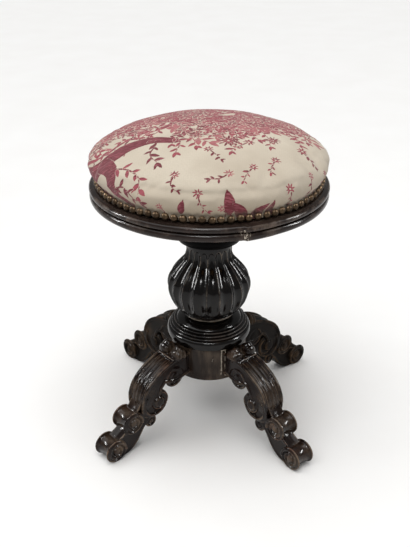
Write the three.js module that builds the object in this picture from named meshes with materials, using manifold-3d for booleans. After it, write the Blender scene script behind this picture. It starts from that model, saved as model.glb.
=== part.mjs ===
// A revolving piano stool: a round upholstered seat on an iron screw, in a fluted
// wooden column that stands on four scrolled legs.
// Millimetres, +Z up. The origin is on the floor, on the column's axis.

import * as THREE from 'three';
import { mergeVertices } from 'three/addons/utils/BufferGeometryUtils.js';
import Module from 'manifold-3d';

const wasm = await Module();
wasm.setup();

// Driving dimensions

const gap = 0.3; // between two pieces that meet
const cutOverrun = 2; // how far a cutter runs past the face that it opens

const hubRadius = 61;
const hubHeight = 58;
const hubFloorHeight = 91.5; // floor to the hub's underside
const hubChamfer = 1.5;

const tenonRadius = 24; // on the vase's foot, glued down through the moulding into the hub
const tenonDepth = 20; // how far the tenon goes into the hub

const mouldingHeight = 38.4;
const mouldingRadius = 67; // of the large round at its foot
const mouldingTorusHeight = 15;
const mouldingFilletRadius = 62.6;
const mouldingFilletHeight = 4.6;
const mouldingUpperRadius = 60.6;
const mouldingUpperHeight = 8.2;

const notchRadius = 36; // the narrow cove between the moulding and the vase
const vaseHeight = 126;
const vaseRadius = 66;
const vaseNeckRadius = 35.6;
const fluteCount = 20;
const fluteDepth = 3.4;
const fluteEndRise = 11; // height of a flute's rounded end

const capitalHeight = 43;
const capitalRadius = 54;
const capitalTopRadius = 42;

const screwBoreRadius = 19; // the hollow of the column, where the screw goes down
const screwBoreFloor = 5; // wood left above the foot of the vase
const screwPitch = 12;
const screwRadius = 14;
const screwRootRadius = 11.5;
const screwCrestWidth = 4; // along the axis
const screwFlankWidth = 1.6; // along the axis
const screwFootClearance = 4.8; // left under the screw with the seat at its lowest
const screwShankRadius = 12; // plain top of the screw, in the iron spider
const screwTailRadius = 9; // plain foot of the screw, in the stop collar
const screwTailBelow = 2; // tail that shows under the collar
const threadRadialClearance = 0.4;
const threadAxialClearance = 0.35;

const stopCollarRadius = 17;
const stopCollarHeight = 10;
const stopPinRadius = 2;
const pinInset = 0.5; // how far a pin's ends lie below the face round them

const nutRadius = 21;
const nutHeight = 45;
const nutFlangeRadius = 34;
const nutFlangeThickness = 5;
const nutScrewCount = 3;
const nutScrewCircle = 28;
const nutScrewHeadRadius = 4;
const nutScrewHeadHeight = 2.6;
const nutScrewShankRadius = 2.1;
const nutScrewLength = 22;

const washerRadius = 21;
const washerBoreRadius = 15.6;
const washerThickness = 3;

const spiderBossRadius = 24;
const spiderBossHeight = 29.8;
const spiderFlareRadius = 36; // where the boss spreads into the arms
const spiderArmCount = 4;
const spiderArmInset = 42; // from the board's edge
const spiderArmWidth = 24;
const spiderArmThickness = 6;
const spiderScrewInset = 14; // from the end of an arm
const spiderPinRadius = 2.5;
const screwTopBelowBoard = 1.2;

const woodScrewHeadRadius = 5;
const woodScrewHeadHeight = 2.8;
const woodScrewShankRadius = 2.3;
const spiderScrewLength = 17;
const rimScrewLength = 15;

const boardThickness = 16.5;
const rimRadius = 178;
const rimWidth = 17.7; // from its outside to its inner face
const rimHeight = 23;
const rimLowerBeadHeight = 12.2;
const rimLowerBeadSetback = 1.6; // from the rim's outside, as the next two are
const rimGrooveSetback = 4;
const rimTopSetback = 7;
const rimLipWidth = 12;
const rimLipThickness = 5.7;

const cushionFootSetback = 11.5; // from the rim's outside to the hem
const cushionOverhang = 7.3; // how far the fullest ring stands out over the hem
const cushionFullHeight = 30.8; // rim to the fullest ring
const cushionCrownHeight = 54.9; // fullest ring to the top
const crownSpreadPower = 1.9; // how square the crown's shoulder is
const crownRisePower = 1.84;
const coverThickness = 1.6;

const nailCount = 84;
const nailHeadRadius = 5.4;
const nailHeadHeight = 3;
const nailRingHeight = 6.2; // rim top to the nail centres
const nailBandThickness = 0.8;

const legHeight = 141;
const legSpan = 163; // hub face to the outside of the toe
const lobeWidth = 40; // across the upper scroll
const stemWidth = 25; // across the lower scroll
const spoolWidth = 30; // across the lower scroll's rolled ends
const spoolThroat = 3.2; // how far a rolled end is hollowed between its faces
const eyeHeight = 1.2; // how far an eye stands out of a rolled end's face
const crookRadius = 19; // the large curl under the upper scroll
const hubCurlRadius = 16; // the curl that lies against the hub
const kneeRadius = 16.5; // the outward curl half way down
const toeRadius = 17.6; // the curl that the leg stands on
const barbRadius = 9; // the small curl between crook and knee
const crestRollRadius = 7.4; // the small roll on top, at the hub
const legRootOverlap = 11; // drawn into the hub, then cut back to its face
const eyeShare = 0.55; // of a curl's radius

const dowelRadius = 4.5;
const dowelLength = 40;
const dowelHeights = [22, 39]; // above the hub's underside

const weldDistance = 1e-4; // corners closer than this are one

const ringFacets = 32;
const columnFacets = 32;
const screwFacets = 16;
const curlFacets = 12;
const smallFacets = 8;
const beadSteps = 4; // rows up a turned bead
const capitalBeadSteps = 5;
const coveSteps = 3;
const scrollCurveSteps = 2; // between two points on the upper scroll's back
const cushionSideSteps = 3;
const cushionCrownSteps = 8;

// Sizes across the seat, from the rim inwards

const boardRadius = rimRadius - rimWidth - gap;
const spiderArmLength = boardRadius - spiderArmInset;
const rimLowerBeadRadius = rimRadius - rimLowerBeadSetback;
const rimGrooveRadius = rimRadius - rimGrooveSetback;
const rimTopRadius = rimRadius - rimTopSetback;
const cushionFootRadius = rimRadius - cushionFootSetback;
const cushionRadius = cushionFootRadius + cushionOverhang; // at its fullest

// Places along the axis, from the floor up

const hubTop = hubFloorHeight + hubHeight;
const mouldingFoot = hubTop + gap;
const mouldingTop = mouldingFoot + mouldingHeight;
const vaseFoot = mouldingTop + gap;
const vaseTop = vaseFoot + vaseHeight;
const capitalFoot = vaseTop + gap;
const columnTop = capitalFoot + capitalHeight;
const nutFoot = columnTop - nutHeight;
const washerFoot = columnTop + gap;
const spiderFoot = washerFoot + washerThickness + gap;
const spiderArmFoot = spiderFoot + spiderBossHeight;
const boardFoot = spiderArmFoot + spiderArmThickness + gap;
const boardTop = boardFoot + boardThickness;
const rimFoot = boardFoot - gap - rimLipThickness;
const rimTop = rimFoot + rimHeight;
const coverFoot = rimTop + gap;
const coverHemHeight = nailRingHeight + nailHeadRadius; // the upright hem that the nails hold
// With the seat down, the collar on the screw lies 102.5 mm under the nut.
const screwFoot = vaseFoot + screwBoreFloor + screwFootClearance;
const stopCollarFoot = screwFoot + screwTailBelow;
const stopCollarTop = stopCollarFoot + stopCollarHeight;

// Colours and surfaces

const ebonisedWood = { color: 0x16120f, roughness: 0.25, metalness: 0 };
const wornWood = { color: 0x2c221c, roughness: 0.45, metalness: 0 };
const pine = { color: 0xb58d5a, roughness: 0.7, metalness: 0 };
const beech = { color: 0xc39a68, roughness: 0.6, metalness: 0 };
const iron = { color: 0x3a3836, roughness: 0.5, metalness: 1 };
const screwSteel = { color: 0x6b665f, roughness: 0.4, metalness: 1 };
const bronze = { color: 0x6e5a3a, roughness: 0.4, metalness: 1 };
const leather = { color: 0x5a3a22, roughness: 0.7, metalness: 0 };
const hair = { color: 0x3b2d22, roughness: 1, metalness: 0 };
const printedCotton = { color: 0xcdbba0, roughness: 0.95, metalness: 0 };

// Solids

function solidOf(geometry) {
  const bare = geometry.index ? geometry.clone() : mergeVertices(geometry.clone());
  bare.deleteAttribute('normal');
  bare.deleteAttribute('uv');
  const merged = mergeVertices(bare, weldDistance);
  return new wasm.Manifold(new wasm.Mesh({
    numProp: 3,
    vertProperties: new Float32Array(merged.attributes.position.array),
    triVerts: new Uint32Array(merged.index.array),
  }));
}

function geometryOf(solid) {
  const mesh = solid.getMesh();
  const geometry = new THREE.BufferGeometry();
  geometry.setAttribute('position', new THREE.BufferAttribute(new Float32Array(mesh.vertProperties), 3));
  geometry.setIndex(new THREE.BufferAttribute(new Uint32Array(mesh.triVerts), 1));
  return geometry;
}

// A turned solid: pairs of radius and height, from the foot up round the outside.
function turned(profile, facets) {
  const points = profile.map(([radius, height]) => new THREE.Vector2(radius, height));
  const geometry = new THREE.LatheGeometry(points, facets);
  geometry.rotateX(Math.PI / 2);
  return solidOf(geometry);
}

function post(radius, foot, top, facets) {
  return turned([[0, foot], [radius, foot], [radius, top], [0, top]], facets);
}

function pipe(radius, bore, foot, top, facets) {
  return turned([[bore, foot], [radius, foot], [radius, top], [bore, top], [bore, foot]], facets);
}

// A rod along X from near to far, at the height that is given.
function crossRod(radius, near, far, height, facets) {
  const geometry = new THREE.CylinderGeometry(radius, radius, far - near, facets);
  geometry.rotateZ(-Math.PI / 2);
  geometry.translate((near + far) / 2, 0, height);
  return solidOf(geometry);
}

function turnAboutAxis(solid, angle) {
  const geometry = geometryOf(solid);
  geometry.rotateZ(angle);
  return solidOf(geometry);
}

// Round stretches of a turned outline

function bead(centreRadius, bulge, foot, height, steps) {
  const points = [];
  for (let i = 0; i <= steps; i += 1) {
    const along = i / steps;
    points.push([centreRadius + bulge * Math.sin(Math.PI * along), foot + height * along]);
  }
  return points;
}

function cove(footRadius, topRadius, foot, height, steps) {
  const points = [];
  for (let i = 0; i <= steps; i += 1) {
    const turn = (Math.PI / 2) * (i / steps);
    const radius = footRadius + (topRadius - footRadius) * Math.sin(turn);
    points.push([radius, foot + height * (1 - Math.cos(turn))]);
  }
  return points;
}

// The screw thread

// A helical surface whose crest is at height zero where the angle is zero, so that a
// screw and the nut cut by it always match. It is trimmed to the two heights.
function threadedRod(rootRadius, crestRadius, crestWidth, flankWidth, foot, top) {
  const section = [
    [rootRadius, -crestWidth / 2 - flankWidth],
    [crestRadius, -crestWidth / 2],
    [crestRadius, crestWidth / 2],
    [rootRadius, crestWidth / 2 + flankWidth],
  ];
  const first = Math.floor((foot / screwPitch - 1) * screwFacets);
  const last = Math.ceil((top / screwPitch + 1) * screwFacets);
  const positions = [];
  for (let i = first; i <= last; i += 1) {
    const angle = (2 * Math.PI * i) / screwFacets;
    const rise = (screwPitch * i) / screwFacets;
    for (const [radius, height] of section) {
      positions.push(radius * Math.cos(angle), radius * Math.sin(angle), rise + height);
    }
  }
  const sides = section.length;
  const rows = last - first;
  const footCentre = positions.length / 3;
  positions.push(0, 0, (screwPitch * first) / screwFacets);
  const topCentre = footCentre + 1;
  positions.push(0, 0, (screwPitch * last) / screwFacets);
  const at = (row, side) => row * sides + side;
  const faces = [];
  const quad = (a, b, c, d) => faces.push(a, b, c, a, c, d);
  for (let row = 0; row < rows; row += 1) {
    for (let side = 0; side + 1 < sides; side += 1) {
      quad(at(row, side), at(row + 1, side), at(row + 1, side + 1), at(row, side + 1));
    }
    if (row + screwFacets < rows) {
      const above = row + screwFacets;
      quad(at(row, sides - 1), at(row + 1, sides - 1), at(above + 1, 0), at(above, 0));
    }
  }
  for (let row = 0; row < screwFacets; row += 1) {
    const upper = rows - screwFacets + row;
    faces.push(footCentre, at(row + 1, 0), at(row, 0));
    faces.push(topCentre, at(upper, sides - 1), at(upper + 1, sides - 1));
  }
  for (let side = 0; side + 1 < sides; side += 1) {
    faces.push(footCentre, at(0, side), at(0, side + 1));
    faces.push(topCentre, at(rows, side + 1), at(rows, side));
  }
  faces.push(footCentre, at(0, sides - 1), at(screwFacets, 0));
  faces.push(topCentre, at(rows, 0), at(rows - screwFacets, sides - 1));
  const geometry = new THREE.BufferGeometry();
  geometry.setAttribute('position', new THREE.Float32BufferAttribute(positions, 3));
  geometry.setIndex(faces);
  const trim = post(2 * crestRadius, foot, top, screwFacets);
  return solidOf(geometry).intersect(trim);
}

// The column

function legHub() {
  let hub = turned([
    [0, hubFloorHeight],
    [hubRadius - hubChamfer, hubFloorHeight],
    [hubRadius, hubFloorHeight + hubChamfer],
    [hubRadius, hubTop - hubChamfer],
    [hubRadius - hubChamfer, hubTop],
    [0, hubTop],
  ], columnFacets);
  hub = hub.subtract(post(tenonRadius + gap, hubTop - tenonDepth - gap, hubTop + cutOverrun, columnFacets));
  for (const angle of legAngles) {
    for (const height of dowelHeights) {
      hub = hub.subtract(turnAboutAxis(dowelHole(height), angle));
    }
  }
  return hub;
}

function columnMoulding() {
  const bore = tenonRadius + gap;
  const torusStart = mouldingFoot;
  const torusBulge = mouldingRadius - mouldingFilletRadius;
  const filletTop = torusStart + mouldingTorusHeight + mouldingFilletHeight;
  const upperShoulder = mouldingUpperRadius - torusBulge / 2;
  const upperTop = filletTop + mouldingUpperHeight;
  return turned([
    [bore, mouldingFoot],
    ...bead(mouldingFilletRadius, torusBulge, torusStart, mouldingTorusHeight, beadSteps),
    [mouldingFilletRadius, filletTop],
    ...bead(upperShoulder, torusBulge / 2, filletTop, mouldingUpperHeight, beadSteps),
    ...cove(mouldingUpperRadius - torusBulge, notchRadius, upperTop, mouldingTop - upperTop, coveSteps),
    [bore, mouldingTop],
    [bore, mouldingFoot],
  ], columnFacets);
}

// Share of the vase's height, and share of the way from its neck to its fullest ring.
const vaseOutlineShares = [
  [0, 0.01], [0.07, 0.4], [0.15, 0.68], [0.25, 0.88], [0.38, 1], [0.49, 0.93],
  [0.585, 0.71], [0.68, 0.39], [0.755, 0.13], [0.84, 0], [0.9, 0], [0.935, 0], [1, 0],
];
const fluteFootShare = 0.08; // of the vase's height
const fluteTopShare = 0.935;

function vaseRadiusAt(share) {
  for (let i = 1; i < vaseOutlineShares.length; i += 1) {
    const [low, lowOut] = vaseOutlineShares[i - 1];
    const [high, highOut] = vaseOutlineShares[i];
    if (share <= high) {
      const out = lowOut + ((highOut - lowOut) * (share - low)) / (high - low);
      return vaseNeckRadius + (vaseRadius - vaseNeckRadius) * out;
    }
  }
  return vaseNeckRadius;
}

// How deep a flute is at a height: nothing at its ends, full between the rounded ends.
function fluteDepthAt(height) {
  const foot = vaseFoot + fluteFootShare * vaseHeight;
  const top = vaseFoot + fluteTopShare * vaseHeight;
  const inside = Math.min(height - foot, top - height);
  if (inside <= 0) {
    return 0;
  }
  const rise = Math.min(inside / fluteEndRise, 1);
  return fluteDepth * Math.sqrt(1 - (1 - rise) ** 2);
}

// A solid round the axis whose radius may differ from side to side, closed by flat ends.
function ripple(heights, sides, radiusAt) {
  const positions = [];
  const faces = [];
  heights.forEach((height, row) => {
    for (let side = 0; side < sides; side += 1) {
      const angle = (2 * Math.PI * side) / sides;
      const radius = radiusAt(row, side);
      positions.push(radius * Math.cos(angle), radius * Math.sin(angle), height);
    }
  });
  const lastRow = heights.length - 1;
  const footCentre = positions.length / 3;
  positions.push(0, 0, heights[0], 0, 0, heights[lastRow]);
  for (let side = 0; side < sides; side += 1) {
    const next = (side + 1) % sides;
    for (let row = 0; row < lastRow; row += 1) {
      const foot = row * sides;
      const top = foot + sides;
      faces.push(foot + side, foot + next, top + next, foot + side, top + next, top + side);
    }
    faces.push(footCentre, next, side);
    faces.push(footCentre + 1, lastRow * sides + side, lastRow * sides + next);
  }
  const geometry = new THREE.BufferGeometry();
  geometry.setAttribute('position', new THREE.Float32BufferAttribute(positions, 3));
  geometry.setIndex(faces);
  return solidOf(geometry);
}

function flutedVase() {
  const stepsPerFlute = 4;
  const heights = vaseOutlineShares.map(([share]) => vaseFoot + share * vaseHeight);
  return ripple(heights, fluteCount * stepsPerFlute, (row, side) => {
    const radius = vaseRadiusAt(vaseOutlineShares[row][0]);
    const hollow = Math.sin((Math.PI * side) / stepsPerFlute) ** 2;
    return radius - (fluteDepthAt(heights[row]) * hollow * radius) / vaseRadius;
  });
}

function columnVase() {
  const tenon = post(tenonRadius, hubTop - tenonDepth, vaseFoot + screwBoreFloor / 2, columnFacets);
  const bore = post(screwBoreRadius, vaseFoot + screwBoreFloor, vaseTop + cutOverrun, columnFacets);
  const seat = post(nutRadius + gap, nutFoot - gap, vaseTop + cutOverrun, columnFacets);
  return flutedVase().add(tenon).subtract(bore).subtract(seat);
}

// Shares of the capital's height
const capitalCoveShare = 0.1;
const capitalFilletShare = 0.05;
const capitalBeadShare = 0.4;
// Share of the cove's height, and share of the way out to the capital's shoulder
const capitalCoveShares = [[0, 0], [0.5, 0.35]];

function columnCapital() {
  const coveHeight = capitalHeight * capitalCoveShare;
  const filletHeight = capitalHeight * capitalFilletShare;
  const beadHeight = capitalHeight * capitalBeadShare;
  const shoulder = (capitalRadius + capitalTopRadius) / 2;
  const coveTop = capitalFoot + coveHeight;
  const beadFoot = coveTop + filletHeight;
  const beadTop = beadFoot + beadHeight;
  let capital = turned([
    [0, capitalFoot],
    ...capitalCoveShares.map(([up, out]) => [
      vaseNeckRadius + (shoulder - vaseNeckRadius) * out, capitalFoot + coveHeight * up]),
    [shoulder, coveTop],
    [shoulder, beadFoot],
    ...bead(shoulder, capitalRadius - shoulder, beadFoot, beadHeight, capitalBeadSteps),
    [capitalTopRadius, beadTop],
    [capitalTopRadius, columnTop],
    [0, columnTop],
  ], columnFacets);
  const above = columnTop + cutOverrun;
  capital = capital.subtract(post(nutRadius + gap, capitalFoot - cutOverrun, above, columnFacets));
  const recessFoot = columnTop - nutFlangeThickness - gap;
  capital = capital.subtract(post(nutFlangeRadius + gap, recessFoot, above, columnFacets));
  for (let i = 0; i < nutScrewCount; i += 1) {
    capital = capital.subtract(placedOnNut(nutScrewHole(), i));
  }
  return capital;
}

// The iron screw and what it turns in

const screwTipShare = 0.5; // of the shank's radius

function nutScrew() {
  return turned([
    [0, columnTop - nutScrewLength],
    [nutScrewShankRadius * screwTipShare, columnTop - nutScrewLength],
    [nutScrewShankRadius, columnTop - nutScrewLength + nutScrewShankRadius],
    [nutScrewShankRadius, columnTop - nutScrewHeadHeight],
    [nutScrewHeadRadius, columnTop],
    [0, columnTop],
  ], smallFacets);
}

function nutScrewHole() {
  return turned([
    [0, columnTop - nutScrewLength - gap],
    [nutScrewShankRadius + gap, columnTop - nutScrewLength - gap],
    [nutScrewShankRadius + gap, columnTop - nutScrewHeadHeight],
    [nutScrewHeadRadius + gap, columnTop],
    [nutScrewHeadRadius + gap, columnTop + cutOverrun],
    [0, columnTop + cutOverrun],
  ], smallFacets);
}

function placedOnNut(solid, index) {
  const geometry = geometryOf(solid);
  geometry.translate(nutScrewCircle, 0, 0);
  geometry.rotateZ((2 * Math.PI * (index + 0.5)) / nutScrewCount);
  return solidOf(geometry);
}

function screwNut() {
  const bush = post(nutRadius, nutFoot, columnTop, columnFacets);
  const flange = post(nutFlangeRadius, columnTop - nutFlangeThickness, columnTop, columnFacets);
  const cutter = threadedRod(
    screwRootRadius + threadRadialClearance,
    screwRadius + threadRadialClearance,
    screwCrestWidth + 2 * threadAxialClearance,
    screwFlankWidth,
    nutFoot - cutOverrun,
    columnTop + cutOverrun);
  let nut = bush.add(flange).subtract(cutter);
  for (let i = 0; i < nutScrewCount; i += 1) {
    nut = nut.subtract(placedOnNut(nutScrewHole(), i));
  }
  return nut;
}

function screwSpindle() {
  const shoulder = spiderFoot - gap;
  const thread = threadedRod(
    screwRootRadius, screwRadius, screwCrestWidth, screwFlankWidth, stopCollarTop + gap, shoulder);
  const shank = post(screwShankRadius, washerFoot, boardFoot - screwTopBelowBoard, screwFacets);
  const tail = post(screwTailRadius, screwFoot, stopCollarTop + screwPitch, screwFacets);
  return thread.add(shank).add(tail).subtract(spiderPinHole()).subtract(stopPinHole());
}

function stopCollar() {
  const ring = pipe(stopCollarRadius, screwTailRadius + gap, stopCollarFoot, stopCollarTop, screwFacets);
  return ring.subtract(stopPinHole());
}

const stopPinHeight = (stopCollarFoot + stopCollarTop) / 2;
const spiderPinHeight = (spiderFoot + spiderArmFoot) / 2;

function stopPin() {
  const reach = stopCollarRadius - pinInset;
  return crossRod(stopPinRadius, -reach, reach, stopPinHeight, smallFacets);
}

function stopPinHole() {
  const reach = stopCollarRadius + cutOverrun;
  return crossRod(stopPinRadius + gap, -reach, reach, stopPinHeight, smallFacets);
}

function spiderPin() {
  const reach = spiderBossRadius - pinInset;
  return crossRod(spiderPinRadius, -reach, reach, spiderPinHeight, smallFacets);
}

function spiderPinHole() {
  const reach = spiderBossRadius + cutOverrun;
  return crossRod(spiderPinRadius + gap, -reach, reach, spiderPinHeight, smallFacets);
}

function leatherWasher() {
  return pipe(washerRadius, washerBoreRadius, washerFoot, washerFoot + washerThickness, columnFacets);
}

// The seat

const roundHeadTopShare = 0.6; // of the head's radius

// A screw that is driven up from below, its head's flat side at the height that is given.
function roundHeadScrew(length, head) {
  return turned([
    [0, head - woodScrewHeadHeight],
    [woodScrewHeadRadius * roundHeadTopShare, head - woodScrewHeadHeight],
    [woodScrewHeadRadius, head],
    [woodScrewShankRadius, head],
    [woodScrewShankRadius, head + length - woodScrewShankRadius],
    [woodScrewShankRadius * screwTipShare, head + length],
    [0, head + length],
  ], smallFacets);
}

function roundHeadHole(length, head) {
  return post(woodScrewShankRadius + gap, head - cutOverrun, head + length + gap, smallFacets);
}

function placedRound(solid, circle, angle) {
  const geometry = geometryOf(solid);
  geometry.translate(circle, 0, 0);
  geometry.rotateZ(angle);
  return solidOf(geometry);
}

function onSpiderArm(solid, index) {
  return placedRound(solid, spiderArmLength - spiderScrewInset, (2 * Math.PI * index) / spiderArmCount);
}

function onRimLip(solid, index) {
  const circle = boardRadius + gap - rimLipWidth / 2;
  return placedRound(solid, circle, (2 * Math.PI * (index + 0.5)) / spiderArmCount);
}

const spiderScrewHead = spiderArmFoot - gap;
const rimScrewHead = rimFoot - gap;

function seatSpider() {
  let spider = turned([
    [0, spiderFoot],
    [spiderBossRadius, spiderFoot],
    [spiderBossRadius, spiderArmFoot - spiderArmThickness],
    [spiderFlareRadius, spiderArmFoot],
    [spiderFlareRadius, spiderArmFoot + spiderArmThickness],
    [0, spiderArmFoot + spiderArmThickness],
  ], columnFacets);
  for (let i = 0; i < spiderArmCount; i += 1) {
    const arm = new THREE.BoxGeometry(spiderArmLength, spiderArmWidth, spiderArmThickness);
    arm.translate(spiderArmLength / 2, 0, spiderArmFoot + spiderArmThickness / 2);
    arm.rotateZ((2 * Math.PI * i) / spiderArmCount);
    spider = spider.add(solidOf(arm));
  }
  const bore = post(screwShankRadius + gap, spiderFoot - cutOverrun, boardFoot + cutOverrun, screwFacets);
  spider = spider.subtract(bore).subtract(spiderPinHole());
  for (let i = 0; i < spiderArmCount; i += 1) {
    spider = spider.subtract(onSpiderArm(roundHeadHole(spiderScrewLength, spiderScrewHead), i));
  }
  return spider;
}

function seatBoard() {
  let board = post(boardRadius, boardFoot, boardTop, ringFacets);
  for (let i = 0; i < spiderArmCount; i += 1) {
    board = board.subtract(onSpiderArm(roundHeadHole(spiderScrewLength, spiderScrewHead), i));
    board = board.subtract(onRimLip(roundHeadHole(rimScrewLength, rimScrewHead), i));
  }
  return board;
}

function seatRim() {
  const inner = boardRadius + gap;
  const lipInner = inner - rimLipWidth;
  const lowerBulge = rimLowerBeadRadius - rimGrooveRadius;
  const upperFoot = rimFoot + rimLowerBeadHeight;
  const upperHeight = rimHeight - rimLowerBeadHeight;
  let rim = turned([
    [lipInner, rimFoot],
    ...bead(rimGrooveRadius, lowerBulge, rimFoot, rimLowerBeadHeight, beadSteps),
    ...bead(rimGrooveRadius, rimRadius - rimGrooveRadius, upperFoot, upperHeight, beadSteps),
    [rimTopRadius, rimTop],
    [inner, rimTop],
    [inner, rimFoot + rimLipThickness],
    [lipInner, rimFoot + rimLipThickness],
    [lipInner, rimFoot],
  ], ringFacets);
  for (let i = 0; i < spiderArmCount; i += 1) {
    rim = rim.subtract(onRimLip(roundHeadHole(rimScrewLength, rimScrewHead), i));
  }
  return rim;
}

// The cushion's outline from its foot to its crown, drawn in by a distance all over.
function cushionOutline(inset) {
  const foot = cushionFootRadius - inset;
  const sideFoot = coverFoot + coverHemHeight;
  const full = rimTop + cushionFullHeight;
  const points = [[foot, coverFoot], [foot, sideFoot]];
  for (let i = 1; i <= cushionSideSteps; i += 1) {
    const along = i / cushionSideSteps;
    const radius = foot + (cushionRadius - cushionFootRadius) * Math.sin((Math.PI / 2) * along);
    points.push([radius, sideFoot + (full - sideFoot) * along]);
  }
  for (let i = 1; i < cushionCrownSteps; i += 1) {
    const share = Math.cos((Math.PI / 2) * (i / cushionCrownSteps));
    const rise = (1 - share ** crownSpreadPower) ** (1 / crownRisePower);
    points.push([(cushionRadius - inset) * share, full + (cushionCrownHeight - inset) * rise]);
  }
  points.push([0, full + cushionCrownHeight - inset]);
  return points;
}

function cushionCover() {
  const outside = cushionOutline(0);
  const inside = cushionOutline(coverThickness);
  const shell = turned([[0, coverFoot], ...outside], ringFacets);
  const mouth = coverFoot - cutOverrun;
  const hollow = turned([[0, mouth], [cushionFootRadius - coverThickness, mouth], ...inside], ringFacets);
  return shell.subtract(hollow);
}

function hairStuffing() {
  const outline = cushionOutline(coverThickness + gap);
  const foot = boardTop + gap;
  return turned([[0, foot], [boardRadius, foot], [boardRadius, coverFoot], ...outline], ringFacets);
}

// The close row of nail heads, as one beaded strip round the cushion's hem.
function nailTrim() {
  const bandInner = cushionFootRadius + gap;
  const bandOuter = bandInner + nailBandThickness;
  const centre = rimTop + nailRingHeight;
  const rises = [-nailHeadRadius, 0, nailHeadRadius];
  const heights = rises.map((rise) => centre + rise);
  const stepsPerNail = 2;
  const strip = ripple(heights, nailCount * stepsPerNail, (row, side) => {
    const onHead = side % stepsPerNail === 1 && rises[row] === 0;
    return onHead ? bandOuter + nailHeadHeight : bandOuter;
  });
  return strip.subtract(post(bandInner, heights[0] - cutOverrun, heights[2] + cutOverrun, ringFacets));
}

// The legs, each drawn in the plane of its scrolls: out from the axis, and up

const legAngles = [-3, -1, 1, 3].map((quarter) => (quarter * Math.PI) / 4);
const legNames = ['front_left', 'front_right', 'back_right', 'back_left'];

// Shares of the leg's span and of its height
const lobeBackShares = [
  [0.17, 0.99], [0.333, 0.925], [0.473, 0.816], [0.549, 0.68], [0.567, 0.571], [0.552, 0.476],
];
const lobeInnerShares = [
  [0.497, 0.415], [0.379, 0.42], [0.3, 0.53], [0.3, 0.66], [0.325, 0.69], [0.29, 0.74], [0.158, 0.7],
];
const lobeRootShare = 0.735; // height of the root's underside
const stemOuterShares = [
  [0.515, 0.646], [0.576, 0.544], [0.661, 0.45], [0.733, 0.32], [0.782, 0.279], [0.836, 0.245],
  [0.9, 0.2],
];
const stemSoleShares = [[0.92, 0.02], [0.903, 0], [0.776, 0]];
const stemInnerShares = [[0.715, 0.02], [0.661, 0.054], [0.6, 0.122], [0.552, 0.211], [0.521, 0.286]];
const stemNeckShares = [[0.44, 0.3], [0.424, 0.422]];
const crookCentreShares = [0.379, 0.539];
const hubCurlCentreShares = [0.158, 0.765];
const kneeCentreShares = [0.661, 0.399];
const toeCentreShares = [0.876, 0.131];
const barbCentreShares = [0.455, 0.316];
const crestRollCentreShares = [0.066, 1];

function legPoint([out, up]) {
  return new THREE.Vector2(hubRadius + out * legSpan, up * legHeight);
}

function slab(shape, width) {
  const settings = { depth: width, bevelEnabled: false, curveSegments: scrollCurveSteps };
  const geometry = new THREE.ExtrudeGeometry(shape, settings);
  geometry.translate(0, 0, -width / 2);
  geometry.rotateX(Math.PI / 2);
  return solidOf(geometry);
}

// A curl's rolled end: two faces with an eye each, and a hollow between them.
function spool(centreShares, radius, width) {
  const half = width / 2;
  const waist = radius - spoolThroat;
  const eye = radius * eyeShare;
  const profile = [
    [0, -half - eyeHeight],
    [eye, -half - eyeHeight],
    [eye, -half],
    [radius, -half],
    [waist, 0],
    [radius, half],
    [eye, half],
    [eye, half + eyeHeight],
    [0, half + eyeHeight],
  ].map(([r, h]) => new THREE.Vector2(r, h));
  const geometry = new THREE.LatheGeometry(profile, curlFacets);
  const centre = legPoint(centreShares);
  geometry.translate(centre.x, 0, centre.y);
  return solidOf(geometry);
}

function roller(centreShares, radius, width) {
  const geometry = new THREE.CylinderGeometry(radius, radius, width, curlFacets);
  const centre = legPoint(centreShares);
  geometry.translate(centre.x, 0, centre.y);
  return solidOf(geometry);
}

function upperScroll() {
  const inHub = -legRootOverlap / legSpan;
  const shape = new THREE.Shape();
  const start = legPoint([inHub, 1]);
  shape.moveTo(start.x, start.y);
  shape.splineThru(lobeBackShares.map(legPoint));
  for (const point of [...lobeInnerShares, [inHub, lobeRootShare]].map(legPoint)) {
    shape.lineTo(point.x, point.y);
  }
  return slab(shape, lobeWidth);
}

function lowerScroll() {
  const shape = new THREE.Shape();
  const points = [
    ...stemOuterShares, ...stemSoleShares, ...stemInnerShares, ...stemNeckShares,
  ].map(legPoint);
  shape.moveTo(points[0].x, points[0].y);
  for (const point of points.slice(1)) {
    shape.lineTo(point.x, point.y);
  }
  return slab(shape, stemWidth);
}

// A dowel lies half in the hub and half in the leg.
function dowel(height) {
  const near = hubRadius - dowelLength / 2;
  const far = hubRadius + dowelLength / 2;
  return crossRod(dowelRadius, near, far, hubFloorHeight + height, smallFacets);
}

function dowelHole(height) {
  const near = hubRadius - dowelLength / 2 - gap;
  const far = hubRadius + dowelLength / 2 + gap;
  return crossRod(dowelRadius + gap, near, far, hubFloorHeight + height, smallFacets);
}

function leg() {
  let solid = upperScroll()
    .add(lowerScroll())
    .add(spool(crookCentreShares, crookRadius, lobeWidth))
    .add(spool(hubCurlCentreShares, hubCurlRadius, lobeWidth))
    .add(spool(kneeCentreShares, kneeRadius, spoolWidth))
    .add(spool(toeCentreShares, toeRadius, spoolWidth))
    .add(roller(barbCentreShares, barbRadius, stemWidth))
    .add(roller(crestRollCentreShares, crestRollRadius, lobeWidth));
  const belowHub = hubFloorHeight - hubHeight;
  const aboveHub = hubTop + hubHeight;
  solid = solid.subtract(post(hubRadius + gap, belowHub, aboveHub, columnFacets));
  for (const height of dowelHeights) {
    solid = solid.subtract(dowelHole(height));
  }
  return solid;
}

// The assembly

const stool = new THREE.Group();

function addPiece(name, solid, finish, angle = 0) {
  const geometry = geometryOf(solid);
  geometry.computeVertexNormals();
  const mesh = new THREE.Mesh(geometry, new THREE.MeshStandardMaterial(finish));
  mesh.name = name;
  mesh.rotation.z = angle;
  stool.add(mesh);
}

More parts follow.
